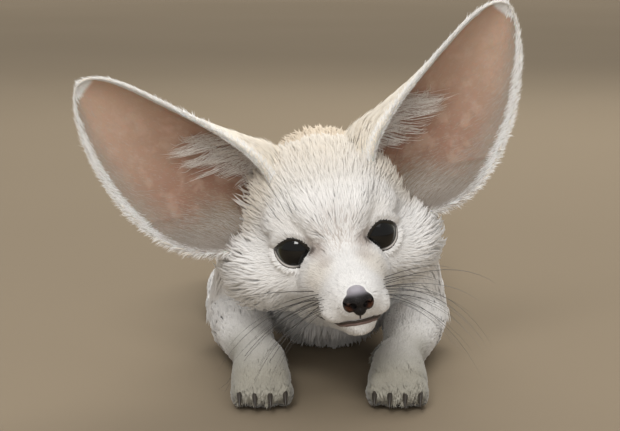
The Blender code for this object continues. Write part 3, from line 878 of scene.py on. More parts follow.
# %% Which mass a point lies on
NOSE_POINT = (0, -42, -14)
NOSE_FORMS = (
    ((0, -39.4, -14.8), (5.4, 4.4, 4.0)),
    ((0, -37.2, -12.2), (3.9, 4.8, 2.8)),
    ((0, -40.6, -17.8), (2.5, 2.8, 2.6)),
    ((3.4, -39.4, -15.6), (2.6, 3.6, 3.2)),
    ((-3.4, -39.4, -15.6), (2.6, 3.6, 3.2)),
)


def mass_gap(points, centre, radii):
    """About how far points lie outside an ellipsoid, in millimetres."""
    away = points - np.array(centre)
    scaled = np.linalg.norm(away / np.array(radii), axis=1)
    return np.linalg.norm(away, axis=1) * (1 - 1 / np.maximum(scaled, 1e-6))


def ring_gap(points, rings):
    """The same for a loft on the middle line, within its length."""
    table = np.array(sorted(rings))
    y = points[:, 1]
    middle, wide, high = (np.interp(y, table[:, 0], table[:, column]) for column in (1, 2, 3))
    scaled = np.hypot(points[:, 0] / wide, (points[:, 2] - middle) / high)
    beyond = np.maximum(table[0, 0] - y, 0) + np.maximum(y - table[-1, 0], 0)
    return (scaled - 1) * np.minimum(wide, high) + beyond


def limb_gap(points, chain, side=1):
    """The same for a limb, with the direction of the limb and how far down it the point lies."""
    gap, down = np.full(len(points), np.inf), np.zeros(len(points))
    lie = np.zeros((len(points), 3))
    for at, (start, end) in enumerate(zip(chain, chain[1:])):
        first, last = (np.array((side * x, y, z)) for x, y, z, _ in (start, end))
        along = last - first
        share = np.clip((points - first) @ along / (along @ along), 0, 1)
        radius = start[3] + (end[3] - start[3]) * share
        this = np.linalg.norm(points - first - share[:, None] * along, axis=1) - radius
        closer = this < gap
        gap[closer], lie[closer] = this[closer], along / np.linalg.norm(along)
        down[closer] = (at + share[closer]) / (len(chain) - 1)
    return gap, lie, down


points = points_of(skin.data) / MM
in_head = taken(points * MM, HEAD_INSIDE)
head_gap = np.minimum(ring_gap(in_head, MUZZLE_RINGS) + MUZZLE_COAT, ring_gap(in_head, JAW_RINGS) + JAW_COAT)
for centre, radii, coat in HEAD_MASSES:
    head_gap = np.minimum(head_gap, mass_gap(in_head, centre, radii) + coat)
for (x, y, z), radii, coat in HEAD_PAIRS:
    for _, side in SIDES:
        head_gap = np.minimum(head_gap, mass_gap(in_head, (side * x, y, z), radii) + coat)
trunk_gap = np.minimum(ring_gap(points, NECK_RINGS) + NECK_COAT, ring_gap(points, TORSO_RINGS) + TORSO_COAT)
tail_chain = [(*centre, radius) for centre, radius in core]
forefoot = (*FORELEG[:-1], (28, -165, 10, 9), (28, -190, 6, 6))
hindfoot = (*HINDFOOT[:-1], (49, -3, 9, 8), (49, -22, 6, 6))

gaps, lies, downs = [head_gap, trunk_gap], [None, None], [None, None]
for chain, coat in ((tail_chain, 0), (forefoot, FORELEG_COAT), (HINDLEG, HINDLEG_COAT), (hindfoot, HINDFOOT_COAT)):
    sides = (1,) if chain is tail_chain else (1, -1)
    found = [limb_gap(points, chain, side) for side in sides]
    nearer = np.argmin([gap for gap, _, _ in found], axis=0)
    rows = np.arange(len(points))
    gaps.append(np.array([gap for gap, _, _ in found])[nearer, rows] + coat)
    lies.append(np.array([lie for _, lie, _ in found])[nearer, rows])
    downs.append(np.array([down for _, _, down in found])[nearer, rows])
PARTS = ("head", "trunk", "tail", "foreleg", "thigh", "hindfoot")
part = np.argmin(gaps, axis=0)
print("points by part:", {name: int((part == at).sum()) for at, name in enumerate(PARTS)})

# %% Combing
TRUNK_LIE = (0.0, 1.0, -0.32)
THIGH_LIE = (0.0, 0.80, -0.60)
HEAD_LENGTHS = ((0, 2.0), (12, 2.8), (25, 4.2), (38, 6.4), (52, 9.5), (70, 12), (95, 13))
HEAD_LIFTS = ((0, 12), (30, 16), (46, 20), (58, 27), (80, 34), (100, 24))
TAIL_LENGTHS = ((0, 16), (0.12, 26), (0.35, 38), (0.7, 42), (1, 34))
COMBINGS = 14

head_turn = np.array(HEAD.to_3x3()) / MM
from_nose = in_head - np.array(NOSE_POINT)
nose_distance = np.linalg.norm(from_nose, axis=1)
cheek = eased(abs(in_head[:, 0]), 20, 36) * eased(-in_head[:, 2], -6, 14) * eased(in_head[:, 1], 2, 22)

lie = unit(from_nose) @ head_turn.T
length = np.interp(nose_distance, *np.array(HEAD_LENGTHS).T) * (1 + 0.75 * cheek)
lift = np.interp(nose_distance, *np.array(HEAD_LIFTS).T) + 3 * cheek
cover = np.interp(nose_distance, (0, 30, 60), (2.0, 2.6, 3.0))
droop = np.full(len(points), 0.62)
for at, (way, long, steep, thick, fall) in enumerate((
        (None, None, None, None, None),
        (TRUNK_LIE, 17, 26, 3.0, 0.62),
        (lies[2], np.interp(downs[2], *np.array(TAIL_LENGTHS).T), 19, 11, 0.62),
        (lies[3], np.interp(downs[3], (0, 0.35, 0.6, 0.8, 1), (16, 12, 8, 5.5, 4)),
         np.interp(downs[3], (0, 0.35, 0.6, 1), (24, 18, 11, 9)), 5.2,
         np.interp(downs[3], (0.3, 0.6), (0.7, 0.95))),
        (THIGH_LIE, 15, 24, 2.8, 0.62),
        (lies[5], np.interp(downs[5], (0, 0.3, 0.7, 1), (8, 6.5, 5, 4)), 10, 4.2, 0.95))):
    if at:
        here = part == at
        lie[here] = np.broadcast_to(way, points.shape)[here]
        length[here] = np.broadcast_to(long, len(points))[here]
        lift[here] = np.broadcast_to(steep, len(points))[here]
        droop[here] = np.broadcast_to(fall, len(points))[here]
        cover[here] = thick

lie, length, droop = (blurred(field, skin.data, COMBINGS) for field in (lie, length, droop))
lift, cover = (blurred(field, skin.data, COMBINGS) for field in (lift, cover))
chest = (part == 1) * eased(-points[:, 1], 55, 85)
lift *= 1 - 0.4 * chest * eased(points[:, 2], 50, 80)
print("fur, millimetres:", round(length.min(), 1), "to", round(length.max(), 1))

# %% [markdown]
# ## Parting the fur round the eyes
#
# Fur never crosses an eye. Next to the lids it is shortest and combed away from the opening, and inside
# the opening, in the ears' bowls and in the mouth none grows.

# %% Around eyes, mouth and ears
bare = np.zeros(len(points), bool)
eye_gap = np.full(len(points), 50.0)
for _, side in SIDES:
    axes = eye_axes(side)
    local = taken(points * MM, axes.inverted())
    close = np.flatnonzero((np.linalg.norm(local, axis=1) < 24) & (local[:, 1] < 4))
    outside = lid_distance(local[close], side, LID_TOP + 0.6)
    eye_gap[close] = np.minimum(eye_gap[close], outside)
    away = unit(local[close] * (1, 0, 1)) @ (np.array(axes.to_3x3()) / MM).T
    lie[close] += away * (1.3 * (1 - eased(outside, 0.5, 7)))[:, None]
    _, _, inside = in_bowl(points * MM, side, 1.04)
    bare |= inside
length *= 0.42 + 0.58 * eased(eye_gap, 0.8, 7)
lift *= 0.45 + 0.55 * eased(eye_gap, 0.5, 6)
cover *= 1 + 0.5 * (1 - eased(eye_gap, 1, 6))
bare |= eye_gap < 0.7
mouth_gap = np.full(len(points), np.inf)
for place in (*mouth, *philtrum):
    mouth_gap = np.minimum(mouth_gap, np.linalg.norm(points - place / MM, axis=1))
bare |= mouth_gap < 1.5
for (x, y, z), radii in NOSE_FORMS:
    bare |= mass_gap(in_head, (x, y, z), radii) < 0.2
length *= 0.45 + 0.55 * eased(mouth_gap, 1, 5)
lift *= 0.4 + 0.6 * eased(mouth_gap, 1, 5)

normals = normals_of(skin.data)
lie -= (lie * normals).sum(1, keepdims=True) * normals
lie = unit(lie)
TUFT_WIDTH = 0.20
WIDTH_POWER = 0.58
width = TUFT_WIDTH * length**WIDTH_POWER * (1 - 0.3 * chest) * (1 + 0.35 * ((part == 3) | (part == 5)))
cover *= 1 + 0.8 * chest
density = cover / (0.5 * width * length) * ~bare
underneath = eased(-normals[:, 2], 0.6, 0.95) * (1 - eased(points[:, 2], 4, 12))
density *= 1 - 0.7 * underneath
print("tufts a square millimetre:", round(density[density > 0].min(), 2), "to", round(density.max(), 2))

# %% [markdown]
# ## The ears
#
# Each ear is a sheet of gristle rolled into a deep cup, wide open to the front. The inner wall is worked
# out from its rings: how far up the ear, how wide the cup, and how far round it the wall goes. Relief goes
# onto it then: soft folds that run up the gristle, and the pocket low on the outer edge, where one lip of
# skin laps over another. The back is the same sheet moved outwards, thick with flesh near the root.

# %% Ear walls
EAR_WALL = 1.3
EAR_FLESH = 8.5
EAR_FLESH_MIDDLE = -0.5
EAR_FLESH_END = 0.8
EAR_WIDEST = 0.32
EAR_LEAN = 5
EAR_NARROWED = 0.86
EAR_TIP = (2.3, 0.5)
EAR_RINGS = (
    # share of the length, radius of the cup, half the angle that the wall wraps
    (0.0, 18.5, 122),
    (0.1, 24.5, 102),
    (0.22, 29, 83),
    (0.4, 32, 66),
    (0.65, 33, 53),
    (1.0, 33, 42),
)
EAR_FOLDS = (
    # place round the ear, height, half width, how far up it reaches
    (-0.30, 0.9, 0.13, 0.75),
    (0.12, -0.7, 0.16, 0.80),
    (0.45, 0.7, 0.12, 0.70),
    (-0.72, -0.6, 0.10, 0.90),
)
POCKET = ((0.58, 0.265), (1.0, 0.40))
POCKET_LIP = 1.3
POCKET_DEPTH = 0.9


def ring_values(share, column):
    """A column of the ear's rings at each share, as one smooth curve through all of them."""
    places, values = np.array(EAR_RINGS)[:, (0, column)].T
    slopes = np.gradient(values, places)
    at = np.clip(np.searchsorted(places, share, side="left"), 1, len(places) - 1)
    gap = places[at] - places[at - 1]
    part = np.clip((share - places[at - 1]) / gap, 0, 1)
    eased_part = part * part * (3 - 2 * part)
    bend = part * (1 - part) * gap * (slopes[at - 1] * (1 - part) - slopes[at] * part)
    return values[at - 1] + (values[at] - values[at - 1]) * eased_part + bend


def ear_wall(share, around):
    """Points of the smooth inner wall in the ear's axes, in millimetres."""
    beyond = np.maximum(0, (share - EAR_WIDEST) / (1 - EAR_WIDEST))
    radius = ring_values(share, 1) * (1 - beyond ** EAR_TIP[0]) ** EAR_TIP[1]
    wrap = np.radians(ring_values(share, 2))
    across = EAR_NARROWED * radius * np.sin(wrap * around) + EAR_LEAN * np.sin(math.pi * share)
    behind = radius * (np.cos(wrap * around) - np.cos(wrap))
    return np.stack((across, behind, share * EAR_LENGTH), 1)


def pocket_line(share, around):
    """How far above the edge of the pocket a point lies, and how much of the pocket is there."""
    (start, low), (end, high) = POCKET
    return share - low - (high - low) * (around - start) / (end - start), eased(around, start - 0.12, start + 0.15)


def ear_relief(share, around):
    """How far the inner wall stands forward of the smooth one, in millimetres."""
    relief = np.zeros(len(share))
    for middle, height, half_width, reach in EAR_FOLDS:
        fade = eased(share, 0.02, 0.15) * (1 - eased(share, reach - 0.35, reach))
        relief += height * np.exp(-(((around - middle) / half_width) ** 2)) * fade
    over, there = pocket_line(share, around)
    lip = POCKET_LIP * np.exp(-np.maximum(over, 0) / 0.05)
    pocket = -POCKET_DEPTH * np.exp(-np.maximum(-over, 0) / 0.035) * (1 - 0.7 * eased(around, 0.85, 1))
    return relief + there * (pocket + (lip - pocket) * eased(over, -0.02, 0.02))


def ear_depth(share, around):
    """Thickness of the ear without its fur."""
    along = np.maximum(0, 1 - share / EAR_FLESH_END) ** 1.4
    inner = 0.3 + 0.7 * np.exp(-(((around - EAR_FLESH_MIDDLE) / 0.5) ** 2))
    edge = 1 - 0.8 * abs(around) ** 5
    return EAR_WALL * (1 - 0.45 * abs(around) ** 8) + EAR_FLESH * along * inner * edge


# %% Making an ear
def store(mesh, name, values):
    mesh.attributes.new(name, "FLOAT", "POINT").data.foreach_set("value", values.astype(np.float32))


def read(mesh, name):
    values = np.empty(len(mesh.vertices), np.float32)
    mesh.attributes[name].data.foreach_get("value", values)
    return values


def make_ear(name, side):
    """The ear as a closed sheet, with its share, place round and side kept at each point."""
    bm = bmesh.new()
    bmesh.ops.create_grid(bm, x_segments=84, y_segments=120, size=1)
    flat = np.array([vert.co for vert in bm.verts])
    around, share = flat[:, 0], (1 - ((1 - flat[:, 1]) / 2) ** 1.5) * 0.9995
    step = 1e-3
    wall = ear_wall(share, around)
    up = ear_wall(share, around) - ear_wall(share - step, around)
    past = ear_wall(share, np.clip(around + step, -1, 1)) - ear_wall(share, np.clip(around - step, -1, 1))
    front = unit(np.cross(past, up))
    back = -unit(front + (np.array((0, -1, 0)) - front) * eased(share, 0.8, 1)[:, None])
    inner = wall + front * ear_relief(share, around)[:, None]
    outer = wall + back * ear_depth(share, around)[:, None]
    pair = bmesh.ops.duplicate(bm, geom=[*bm.verts, *bm.edges, *bm.faces])["vert_map"]
    bm.verts.index_update()
    first = [vert for vert in bm.verts if vert.index < len(flat)]
    rows = {vert.index: row for row, vert in enumerate(first)}
    for vert in first:
        row = rows[vert.index]
        pair[vert].co = outer[row]
        vert.co = inner[row]
    bmesh.ops.bridge_loops(bm, edges=[edge for edge in bm.edges if edge.is_boundary])
    bmesh.ops.transform(bm, matrix=ear_axes(side), verts=bm.verts)
    obj = object_of(name, bm)
    half = len(flat)
    for label, column in (("share", share), ("around", around)):
        store(obj.data, label, np.concatenate((column, column)))
    store(obj.data, "inside", np.concatenate((np.ones(half), np.zeros(half))))
    return obj


ears = {name: make_ear("ear_" + name, side) for name, side in SIDES}
print("each ear:", len(ears["left"].data.vertices), "points")

# %% [markdown]
# ## Eyes and lids
#
# The eyeball is a plain ball, so its finish does the work: it keeps at each point how far that lies from
# the line of sight, and pupil, iris and edge are painted by it. The iris ring has an olive-green tint that is
# partly a painted reflection of the floor. The rim of the lids is a closed ring with a rounded section,
# swept round the opening; on its lower outer side a pale painted highlight stands for the wet lid margin.

# %% Eyeballs and rims
LID_SECTION = (
    # millimetres out from the opening along the ball, and distance from the middle of the eye
    (-0.30, 8.6),
    (-0.16, 9.10),
    (0.0, 9.34),
    (0.22, 9.60),
    (0.50, 9.78),
    (0.85, 9.84),
    (1.30, 9.70),
    (1.80, 9.20),
    (1.00, 8.60),
)


def make_eye(name, side):
    bm = bmesh.new()
    bmesh.ops.create_uvsphere(bm, u_segments=64, v_segments=40, radius=EYE_RADIUS, matrix=turned(90, "X"))
    sight = np.array([-vert.co.y / EYE_RADIUS for vert in bm.verts])
    bmesh.ops.transform(bm, matrix=eye_axes(side), verts=bm.verts)
    obj = object_of(name, bm)
    store(obj.data, "off_sight", np.degrees(np.arccos(np.clip(sight, -1, 1))))
    return obj


def make_rim(name, side):
    """A closed ring round the opening of one eye."""
    line, out = lid_line(side)
    section = np.array(LID_SECTION)
    bm = bmesh.new()
    bmesh.ops.create_grid(bm, x_segments=LID_STEPS, y_segments=len(section), size=1)
    at = [((vert.co.x + 1) / 2 * LID_STEPS, (vert.co.y + 1) / 2 * len(section)) for vert in bm.verts]
    pale = []
    for vert, (turn, ring) in zip(bm.verts, at):
        turn, ring = round(turn) % LID_STEPS, round(ring) % len(section)
        angle = section[ring, 0] / EYE_RADIUS
        way = line[turn] * math.cos(angle) + out[turn] * math.sin(angle)
        vert.co = way * section[ring, 1]
        low = math.sin(turn / LID_STEPS * math.tau)
        outer = math.cos(turn / LID_STEPS * math.tau)
        # Painted highlight: a pale band on the lower outer side of the rim, where the wet lid margin catches light
        pale.append(max(0, -low) ** 0.5 * float(eased(outer, -0.45, 0.1)) * float(2 <= ring <= 3))
    kept = bm.verts.layers.float.new("pale")
    for vert, value in zip(bm.verts, pale):
        vert[kept] = value
    bmesh.ops.remove_doubles(bm, verts=bm.verts, dist=1e-4)
    bmesh.ops.transform(bm, matrix=eye_axes(side), verts=bm.verts)
    return object_of(name, bm)


eyes = {name: make_eye("eye_" + name, side) for name, side in SIDES}
rims = {name: make_rim("eyelid_" + name, side) for name, side in SIDES}
print("lid rim:", len(rims["left"].data.polygons), "faces")

# %% [markdown]
# ## The nose pad
#
# The pad is a small cushion of bare, pebbled skin: a bridge that widens into two wings round the nostrils,
# with a groove down its middle. It is melted from five balls at a fine grain. The nostrils are commas, a
# round opening with a slit that runs out and up over the wing, so each is cut with two balls.

# %% Nose
NOSTRILS = (
    # centre, radii and roll of each ball that cuts a nostril, on the left side
    ((2.9, -43.0, -16.0), (1.7, 2.6, 1.35), 0),
    ((5.2, -41.4, -15.0), (2.2, 2.2, 0.60), -28),
)
GROOVE = ((0, -44.9, -17.6), (0.32, 1.3, 3.4))
NOSE_VOXEL = 0.34


def cut_from(obj, cutter):
    """Cuts one closed mesh from another, and removes the cutter."""
    cut = obj.modifiers.new("cut", "BOOLEAN")
    cut.operation, cut.solver, cut.object = "DIFFERENCE", "EXACT", cutter
    mesh = bpy.data.meshes.new_from_object(obj.evaluated_get(bpy.context.evaluated_depsgraph_get()))
    obj.modifiers.remove(cut)
    obj.data = mesh
    bpy.data.objects.remove(cutter)


bm = bmesh.new()
for centre, radii in NOSE_FORMS:
    ball(bm, centre, radii, HEAD)
nose = melted("nose_pad_skin", bm, NOSE_VOXEL, 6)
bm = bmesh.new()
ball(bm, *GROOVE, HEAD)
cut_from(nose, object_of("cutter", bm))
for _, side in SIDES:
    for (x, y, z), radii, roll in NOSTRILS:
        bm = bmesh.new()
        turn = turned(side * 26, "Z") @ turned(side * roll, "Y")
        ball(bm, (side * x, y, z), radii, HEAD, turn=turn)
        cut_from(nose, object_of("cutter", bm))
nose.data.shade_smooth()
print("nose:", len(nose.data.polygons), "faces")

# %% [markdown]
# ## Lips
#
# The mouth is closed. What shows of it is the dark seam in its groove and, below that in front, a thin
# strip of bare lower lip. Both are lofts along the line of the mouth, the second a little lower.

# %% Lips
LIP_RADIUS = 0.46
LOWER_LIP = (0.95, 0.62, 0.8)


def along_line(name, line, drop, radius, bulge, trim, across=(0, 0, 1)):
    """A tapered strip along a line of the face, a distance below it and proud of the skin there."""
    path = line[trim:len(line) - trim]
    down = -np.array(HEAD.to_3x3() @ Vector((0, 0, 1)))
    rings = []
    for at, place in enumerate(path):
        spot, normal, _, _ = skin_tree.find_nearest(Vector(place + down * drop))
        thick = radius * (0.6 + 0.4 * math.sin(math.pi * at / (len(path) - 1)) ** 0.5)
        rings.append(((spot + normal * bulge * MM) / MM, thick, thick))
    bm = bmesh.new()
    loft(bm, rings, BODY, sides=10, across=across)
    return object_of(name, bm)


mouth_seam = along_line("mouth_seam", mouth, 0, LIP_RADIUS, 0.75, 1)
lip_parting = along_line("lip_parting", philtrum, 0, 0.34, 0.1, 0, across=(1, 0, 0))
lower_lip = along_line("lower_lip", mouth, LOWER_LIP[0], LOWER_LIP[1], LOWER_LIP[2] - 0.75, 27)
print("lips:", len(mouth_seam.data.polygons) + len(lower_lip.data.polygons), "faces")

# %% [markdown]
# ## Claws
#
# Fox claws are blunt, dark and hardly curved. Each grows from the top of its toe and arches down to a
# worn point, as a loft whose rings follow an arc. Four on each foot show.

# %% Claws
CLAW_RISE = 6.4
CLAW_ARC = 62


def make_claws(name, axes, spread):
    bm = bmesh.new()
    for x, y, _ in toes(spread):
        rings = []
        radius = CLAW_LENGTH * 1.15 / math.radians(CLAW_ARC)
        for step in range(8):
            share = step / 7
            turn = math.radians(CLAW_ARC) * share
            start = y - TOE_RADII[1] + 3.2
            centre = (x, start - radius * math.sin(turn), CLAW_RISE - radius * (1 - math.cos(turn)))
            thick = (1 - share**1.6) * 1.0 + 0.02
            rings.append((centre, 1.15 * thick, 1.55 * thick))
        loft(bm, rings, axes, sides=12, pointed=True)
    return object_of(name, bm)


claws, paw_places = [], []
for paw, x, y, turn, _, spread in PAWS:
    for name, side in SIDES:
        axes = paw_axes(side, x, y, turn)
        claws.append(make_claws("claws_" + paw + "_" + name, axes, spread))
print("claws:", 4 * len(claws))

# %% [markdown]
# ## Fur as solid tufts
#
# A coat is not modelled hair by hair. Some hairs lie together as one pointed tuft, and a tuft can be a real
# solid: a three-sided spike that rises from the skin, bends over with the lie of the coat and runs out to a
# point. A few dozen thousand of them overlap like thatch. Being this many and this small, they are put
# together from arrays. Each keeps how far along it a point is and a number of its own, for the painter, and
# takes its place on the baked picture from its root.

# %% Where tufts stand
UV_NAME = "OFBake"
UV_PATCH = 0.003
UV_ANGLE = 66
rng = np.random.default_rng(41)


def unwrap(obj):
    """Lays the surface out flat by its own shape."""
    obj.data.uv_layers.new(name=UV_NAME)
    bpy.context.view_layer.objects.active = obj
    obj.select_set(True)
    bpy.ops.object.mode_set(mode="EDIT")
    bpy.ops.mesh.select_all(action="SELECT")
    bpy.ops.uv.smart_project(angle_limit=math.radians(UV_ANGLE), island_margin=0.002)
    bpy.ops.object.mode_set(mode="OBJECT")
    obj.select_set(False)


class Ground:
    """A surface for fur to stand on."""

    def __init__(self, obj):
        unwrap(obj)
        mesh = obj.data
        mesh.calc_loop_triangles()
        count = len(mesh.loop_triangles)
        self.corners, loops = np.empty(3 * count, np.int32), np.empty(3 * count, np.int32)
        mesh.loop_triangles.foreach_get("vertices", self.corners)
        mesh.loop_triangles.foreach_get("loops", loops)
        flat = np.empty(2 * len(mesh.loops), np.float32)
        mesh.uv_layers[UV_NAME].data.foreach_get("uv", flat)
        self.corners = self.corners.reshape(-1, 3)
        self.uv = flat.reshape(-1, 2)[loops.reshape(-1, 3)]
        self.points, self.normals = points_of(mesh), normals_of(mesh)
        self.tree = tree_of(mesh)
        a, b, c = (self.points[self.corners[:, at]] for at in range(3))
        self.area = np.linalg.norm(np.cross(b - a, c - a), axis=1) / 2 / MM**2

    def roots(self, density, **fields):
        """Stands tufts evenly at random, so many a square millimetre, and gives the fields at each."""
        weight = np.cumsum(self.area * density[self.corners].mean(1))
        count = int(weight[-1])
        at = (np.arange(count) + rng.random(count)) / count * weight[-1]
        triangle = np.minimum(np.searchsorted(weight, at), len(weight) - 1)
        part = rng.dirichlet((1, 1, 1), count)
        corners = self.corners[triangle]

        def here(values):
            return np.einsum("ij,ij...->i...", part, values[corners])

        found = {name: here(values) for name, values in fields.items()}
        found["root"] = here(self.points)
        found["up"] = unit(here(self.normals))
        found["uv"] = np.einsum("ij,ijk->ik", part, self.uv[triangle])
        found["point"] = corners[np.arange(count), part.argmax(1)]
        found["lie"] = unit(found["lie"] - (found["lie"] * found["up"]).sum(1, keepdims=True) * found["up"])
        return found


skin_ground = Ground(skin)
print("skin, square centimetres:", round(skin_ground.area.sum() / 100))

# %% How a tuft bends
LIE_JITTER = 9
LENGTH_RANGE = (0.75, 1.2)
ARCH = 1.7
DROOP = 0.62
LEADERS = 7
CLUMP_POWER = 1.3
LOWEST = 0.25
SHALLOWEST = 0.3
RING_SHARES = {1: (0, 1), 2: (0, 0.5, 1), 3: (0, 0.34, 0.7, 1)}


def bent(tufts, rings, clump, tree, jitter=LIE_JITTER, leaders=LEADERS):
    """The middle line of each tuft: it rises, leans over, and draws towards its leader's tip."""
    count = len(tufts["root"])
    side = np.cross(tufts["lie"], tufts["up"])
    stray = np.radians(rng.normal(0, jitter, count))[:, None]
    way = tufts["lie"] * np.cos(stray) + side * np.sin(stray)
    long = tufts["length"] * rng.uniform(*LENGTH_RANGE, count) * MM
    lift = np.radians(tufts["lift"] * rng.uniform(0.75, 1.25, count))
    share = np.array(RING_SHARES[rings])[None, :, None]
    over = (long * np.cos(lift))[:, None, None] * share * way[:, None]
    fall = tufts["droop"][:, None, None]
    rise = (long * np.sin(lift) * ARCH)[:, None, None] * (share - fall * share**2) * tufts["up"][:, None]
    line = tufts["root"][:, None] + over + rise
    lead = np.arange(0, count, leaders)
    kd = KDTree(len(lead))
    for row, at in enumerate(lead):
        kd.insert(tufts["root"][at], row)
    kd.balance()
    nearest = lead[[kd.find(place)[1] for place in tufts["root"]]]
    pull = line[nearest, -1] - line[:, -1]
    line += share**CLUMP_POWER * (clump * pull)[:, None]
    return over_skin(line, tufts, tree)


def over_skin(line, tufts, tree):
    """Keeps every tuft a little above the skin that it passes over, and above the floor."""
    intended = tufts["length"] * np.sin(np.radians(tufts["lift"])) * (1 - tufts["droop"]) / (1 - DROOP) * MM
    for ring in range(1, line.shape[1]):
        low = SHALLOWEST * intended
        for at, place in enumerate(line[:, ring]):
            spot, normal, _, _ = tree.find_nearest(place)
            height = (Vector(place) - spot).dot(normal)
            if height < low[at]:
                line[at, ring] += np.array(normal) * (low[at] - height)
    line[..., 2] = np.maximum(line[..., 2], LOWEST * MM)
    return line


# %% Tufts as solids
CREST = 0.45
FLOOR_GAP = 0.1
SUNK = 0.25
ROUNDING = 0.6
UNDERSIDE = 0.3
RING_WIDTHS = {1: (1,), 2: (0.9, 1), 3: (0.8, 1, 0.75)}


def tuft_faces(rings):
    """Corners of the faces of one tuft of so many rings, one list for each face."""
    faces = [(3 * j + i, 3 * (j + 1) + i, 3 * (j + 1) + (i + 1) % 3, 3 * j + (i + 1) % 3)
             for j in range(rings - 1) for i in range(3)]
    last = 3 * (rings - 1)
    faces += [(last + i, 3 * rings, last + (i + 1) % 3) for i in range(3)]
    return faces + [(0, 1, 2)]


def tuft_mesh(name, line, tufts):
    """Many tufts as one mesh, with what the painter needs at each point."""
    count, rings = len(line), line.shape[1] - 1
    along = unit(line[:, 1:] - line[:, :-1])
    side = unit(np.cross(along, tufts["up"][:, None]))
    crest = np.cross(side, along)
    wide = (tufts["width"] * MM)[:, None, None] * np.array(RING_WIDTHS[rings])[None, :, None]
    places = line[:, :-1].copy()
    places[:, 0] -= tufts["up"] * SUNK * MM
    ring = np.stack((places - side * wide / 2, places + side * wide / 2, places + crest * wide * CREST), 2)
    verts = np.concatenate((ring.reshape(count, -1, 3), line[:, -1:]), 1)
    up = tufts["up"][:, None, None]
    soft = unit(up + ROUNDING * np.stack((-side, side, crest), 2)).reshape(count, -1, 3)
    soft = np.concatenate((soft, tufts["up"][:, None]), 1)
    under = unit(UNDERSIDE * along - crest)
    under = np.concatenate((np.repeat(under, 3, 1), under[:, -1:]), 1)
    shares = np.array(RING_SHARES[rings])
    along_values = np.broadcast_to(np.append(np.repeat(shares[:-1], 3), 1), (count, 3 * rings + 1))

    verts[..., 2] = np.maximum(verts[..., 2], FLOOR_GAP * MM)
    faces = tuft_faces(rings)
    each = 3 * rings + 1
    sizes = np.array([len(face) for face in faces])
    loops = (np.concatenate(faces)[None] + each * np.arange(count)[:, None]).ravel()
    starts = np.concatenate(((0,), np.cumsum(np.tile(sizes, count))[:-1]))
    mesh = bpy.data.meshes.new(name)
    mesh.vertices.add(count * each)
    mesh.loops.add(len(loops))
    mesh.polygons.add(count * len(faces))
    mesh.vertices.foreach_set("co", verts.astype(np.float32).ravel())
    mesh.loops.foreach_set("vertex_index", loops.astype(np.int32))
    mesh.polygons.foreach_set("loop_start", starts.astype(np.int32))
    mesh.update(calc_edges=True)
    mesh.shade_smooth()
    corner = np.arange(each)
    patch = np.stack((corner // 3, corner % 3), 1) * UV_PATCH / 3
    uv = np.clip(tufts["uv"][:, None] + patch[None], 0, 1).reshape(-1, 2)[loops]
    mesh.uv_layers.new(name=UV_NAME).data.foreach_set("uv", uv.astype(np.float32).ravel())
    store(mesh, "along", along_values.ravel())
    store(mesh, "strand", np.repeat(rng.random(count), each))
    hidden = np.concatenate([[at % 3 == 0 and at < 3 * rings] * len(face) for at, face in enumerate(faces)])
    corners = np.concatenate(faces)
    shading = np.where(hidden[None, :, None], under[:, corners], soft[:, corners])
    mesh.normals_split_custom_set(shading.reshape(-1, 3).astype(np.float32))
    obj = bpy.data.objects.new(name, mesh)
    bpy.context.scene.collection.objects.link(obj)
    return obj


def part_of(tufts, rows):
    return {name: values[rows] for name, values in tufts.items()}


print("triangles in a tuft:", {rings: 6 * rings - 2 for rings in RING_SHARES})

# %% [markdown]
# ## The coat of head, trunk, legs and tail
#
# All tufts of the skin are stood at once, so that no border shows. Those of the tail have one ring more to
# bend by, because they are the longest. Then they are shared out to pieces that are not too large.

# %% Growing the coat
MOST_TUFTS = {"head": 8.0, "trunk": 2.0, "tail": 2.0, "foreleg": 3.0, "thigh": 1.5, "hindfoot": 1.5}
THICKER = {"head": 1.9, "trunk": 1.05, "tail": 1.0, "foreleg": 1.0, "thigh": 0.9, "hindfoot": 0.7}
RINGS = {"tail": 3}
CLUMP = {"head": 0.35}
FACE_REACH = 47

for at, name in enumerate(PARTS):
    here = part == at
    density[here] = np.minimum(density[here] * THICKER[name], MOST_TUFTS[name])
tufts = skin_ground.roots(
    density, lie=lie, length=length, lift=lift, droop=droop, width=width, nose=nose_distance)
owner = part[tufts["point"]]
in_head_axes = taken(tufts["root"], HEAD_INSIDE)
coats = {}


def grow(name, rows, rings, clump):
    own = part_of(tufts, rows)
    coats[name] = tuft_mesh(name, bent(own, rings, clump, skin_ground.tree), own)
    print(name, len(coats[name].data.vertices), "points")


for at, name in enumerate(PARTS):
    for side_name, side in SIDES:
        across = in_head_axes[:, 0] if name == "head" else tufts["root"][:, 0]
        rows = (owner == at) & (side * across >= 0)
        if name == "head":
            in_face = tufts["nose"] < FACE_REACH
            grow("coat_face_" + side_name, rows & in_face, 2, CLUMP["head"])
            grow("coat_head_" + side_name, rows & ~in_face, 2, CLUMP["head"])
        else:
            grow("coat_" + name + "_" + side_name, rows, RINGS.get(name, 2), CLUMP.get(name, 0.45))

# %% [markdown]
# ## Fur of the ears
#
# The ears carry four kinds of fur. The back has a coat like the head's. Round the edge runs a dense short
# brush, the bright line that draws the ear's shape. The inner wall has only thin down, through which the
# pink skin shows. And from the front edge, low down, long white sprays lie across the way in, to keep sand
# out. Each kind is a piece of its own, and its fields come from where a point is on the ear.

# %% Ear fields
FRINGE_LENGTH = 24
DOWN_LENGTH = 2.4
BRUSH_LENGTH = 3.8


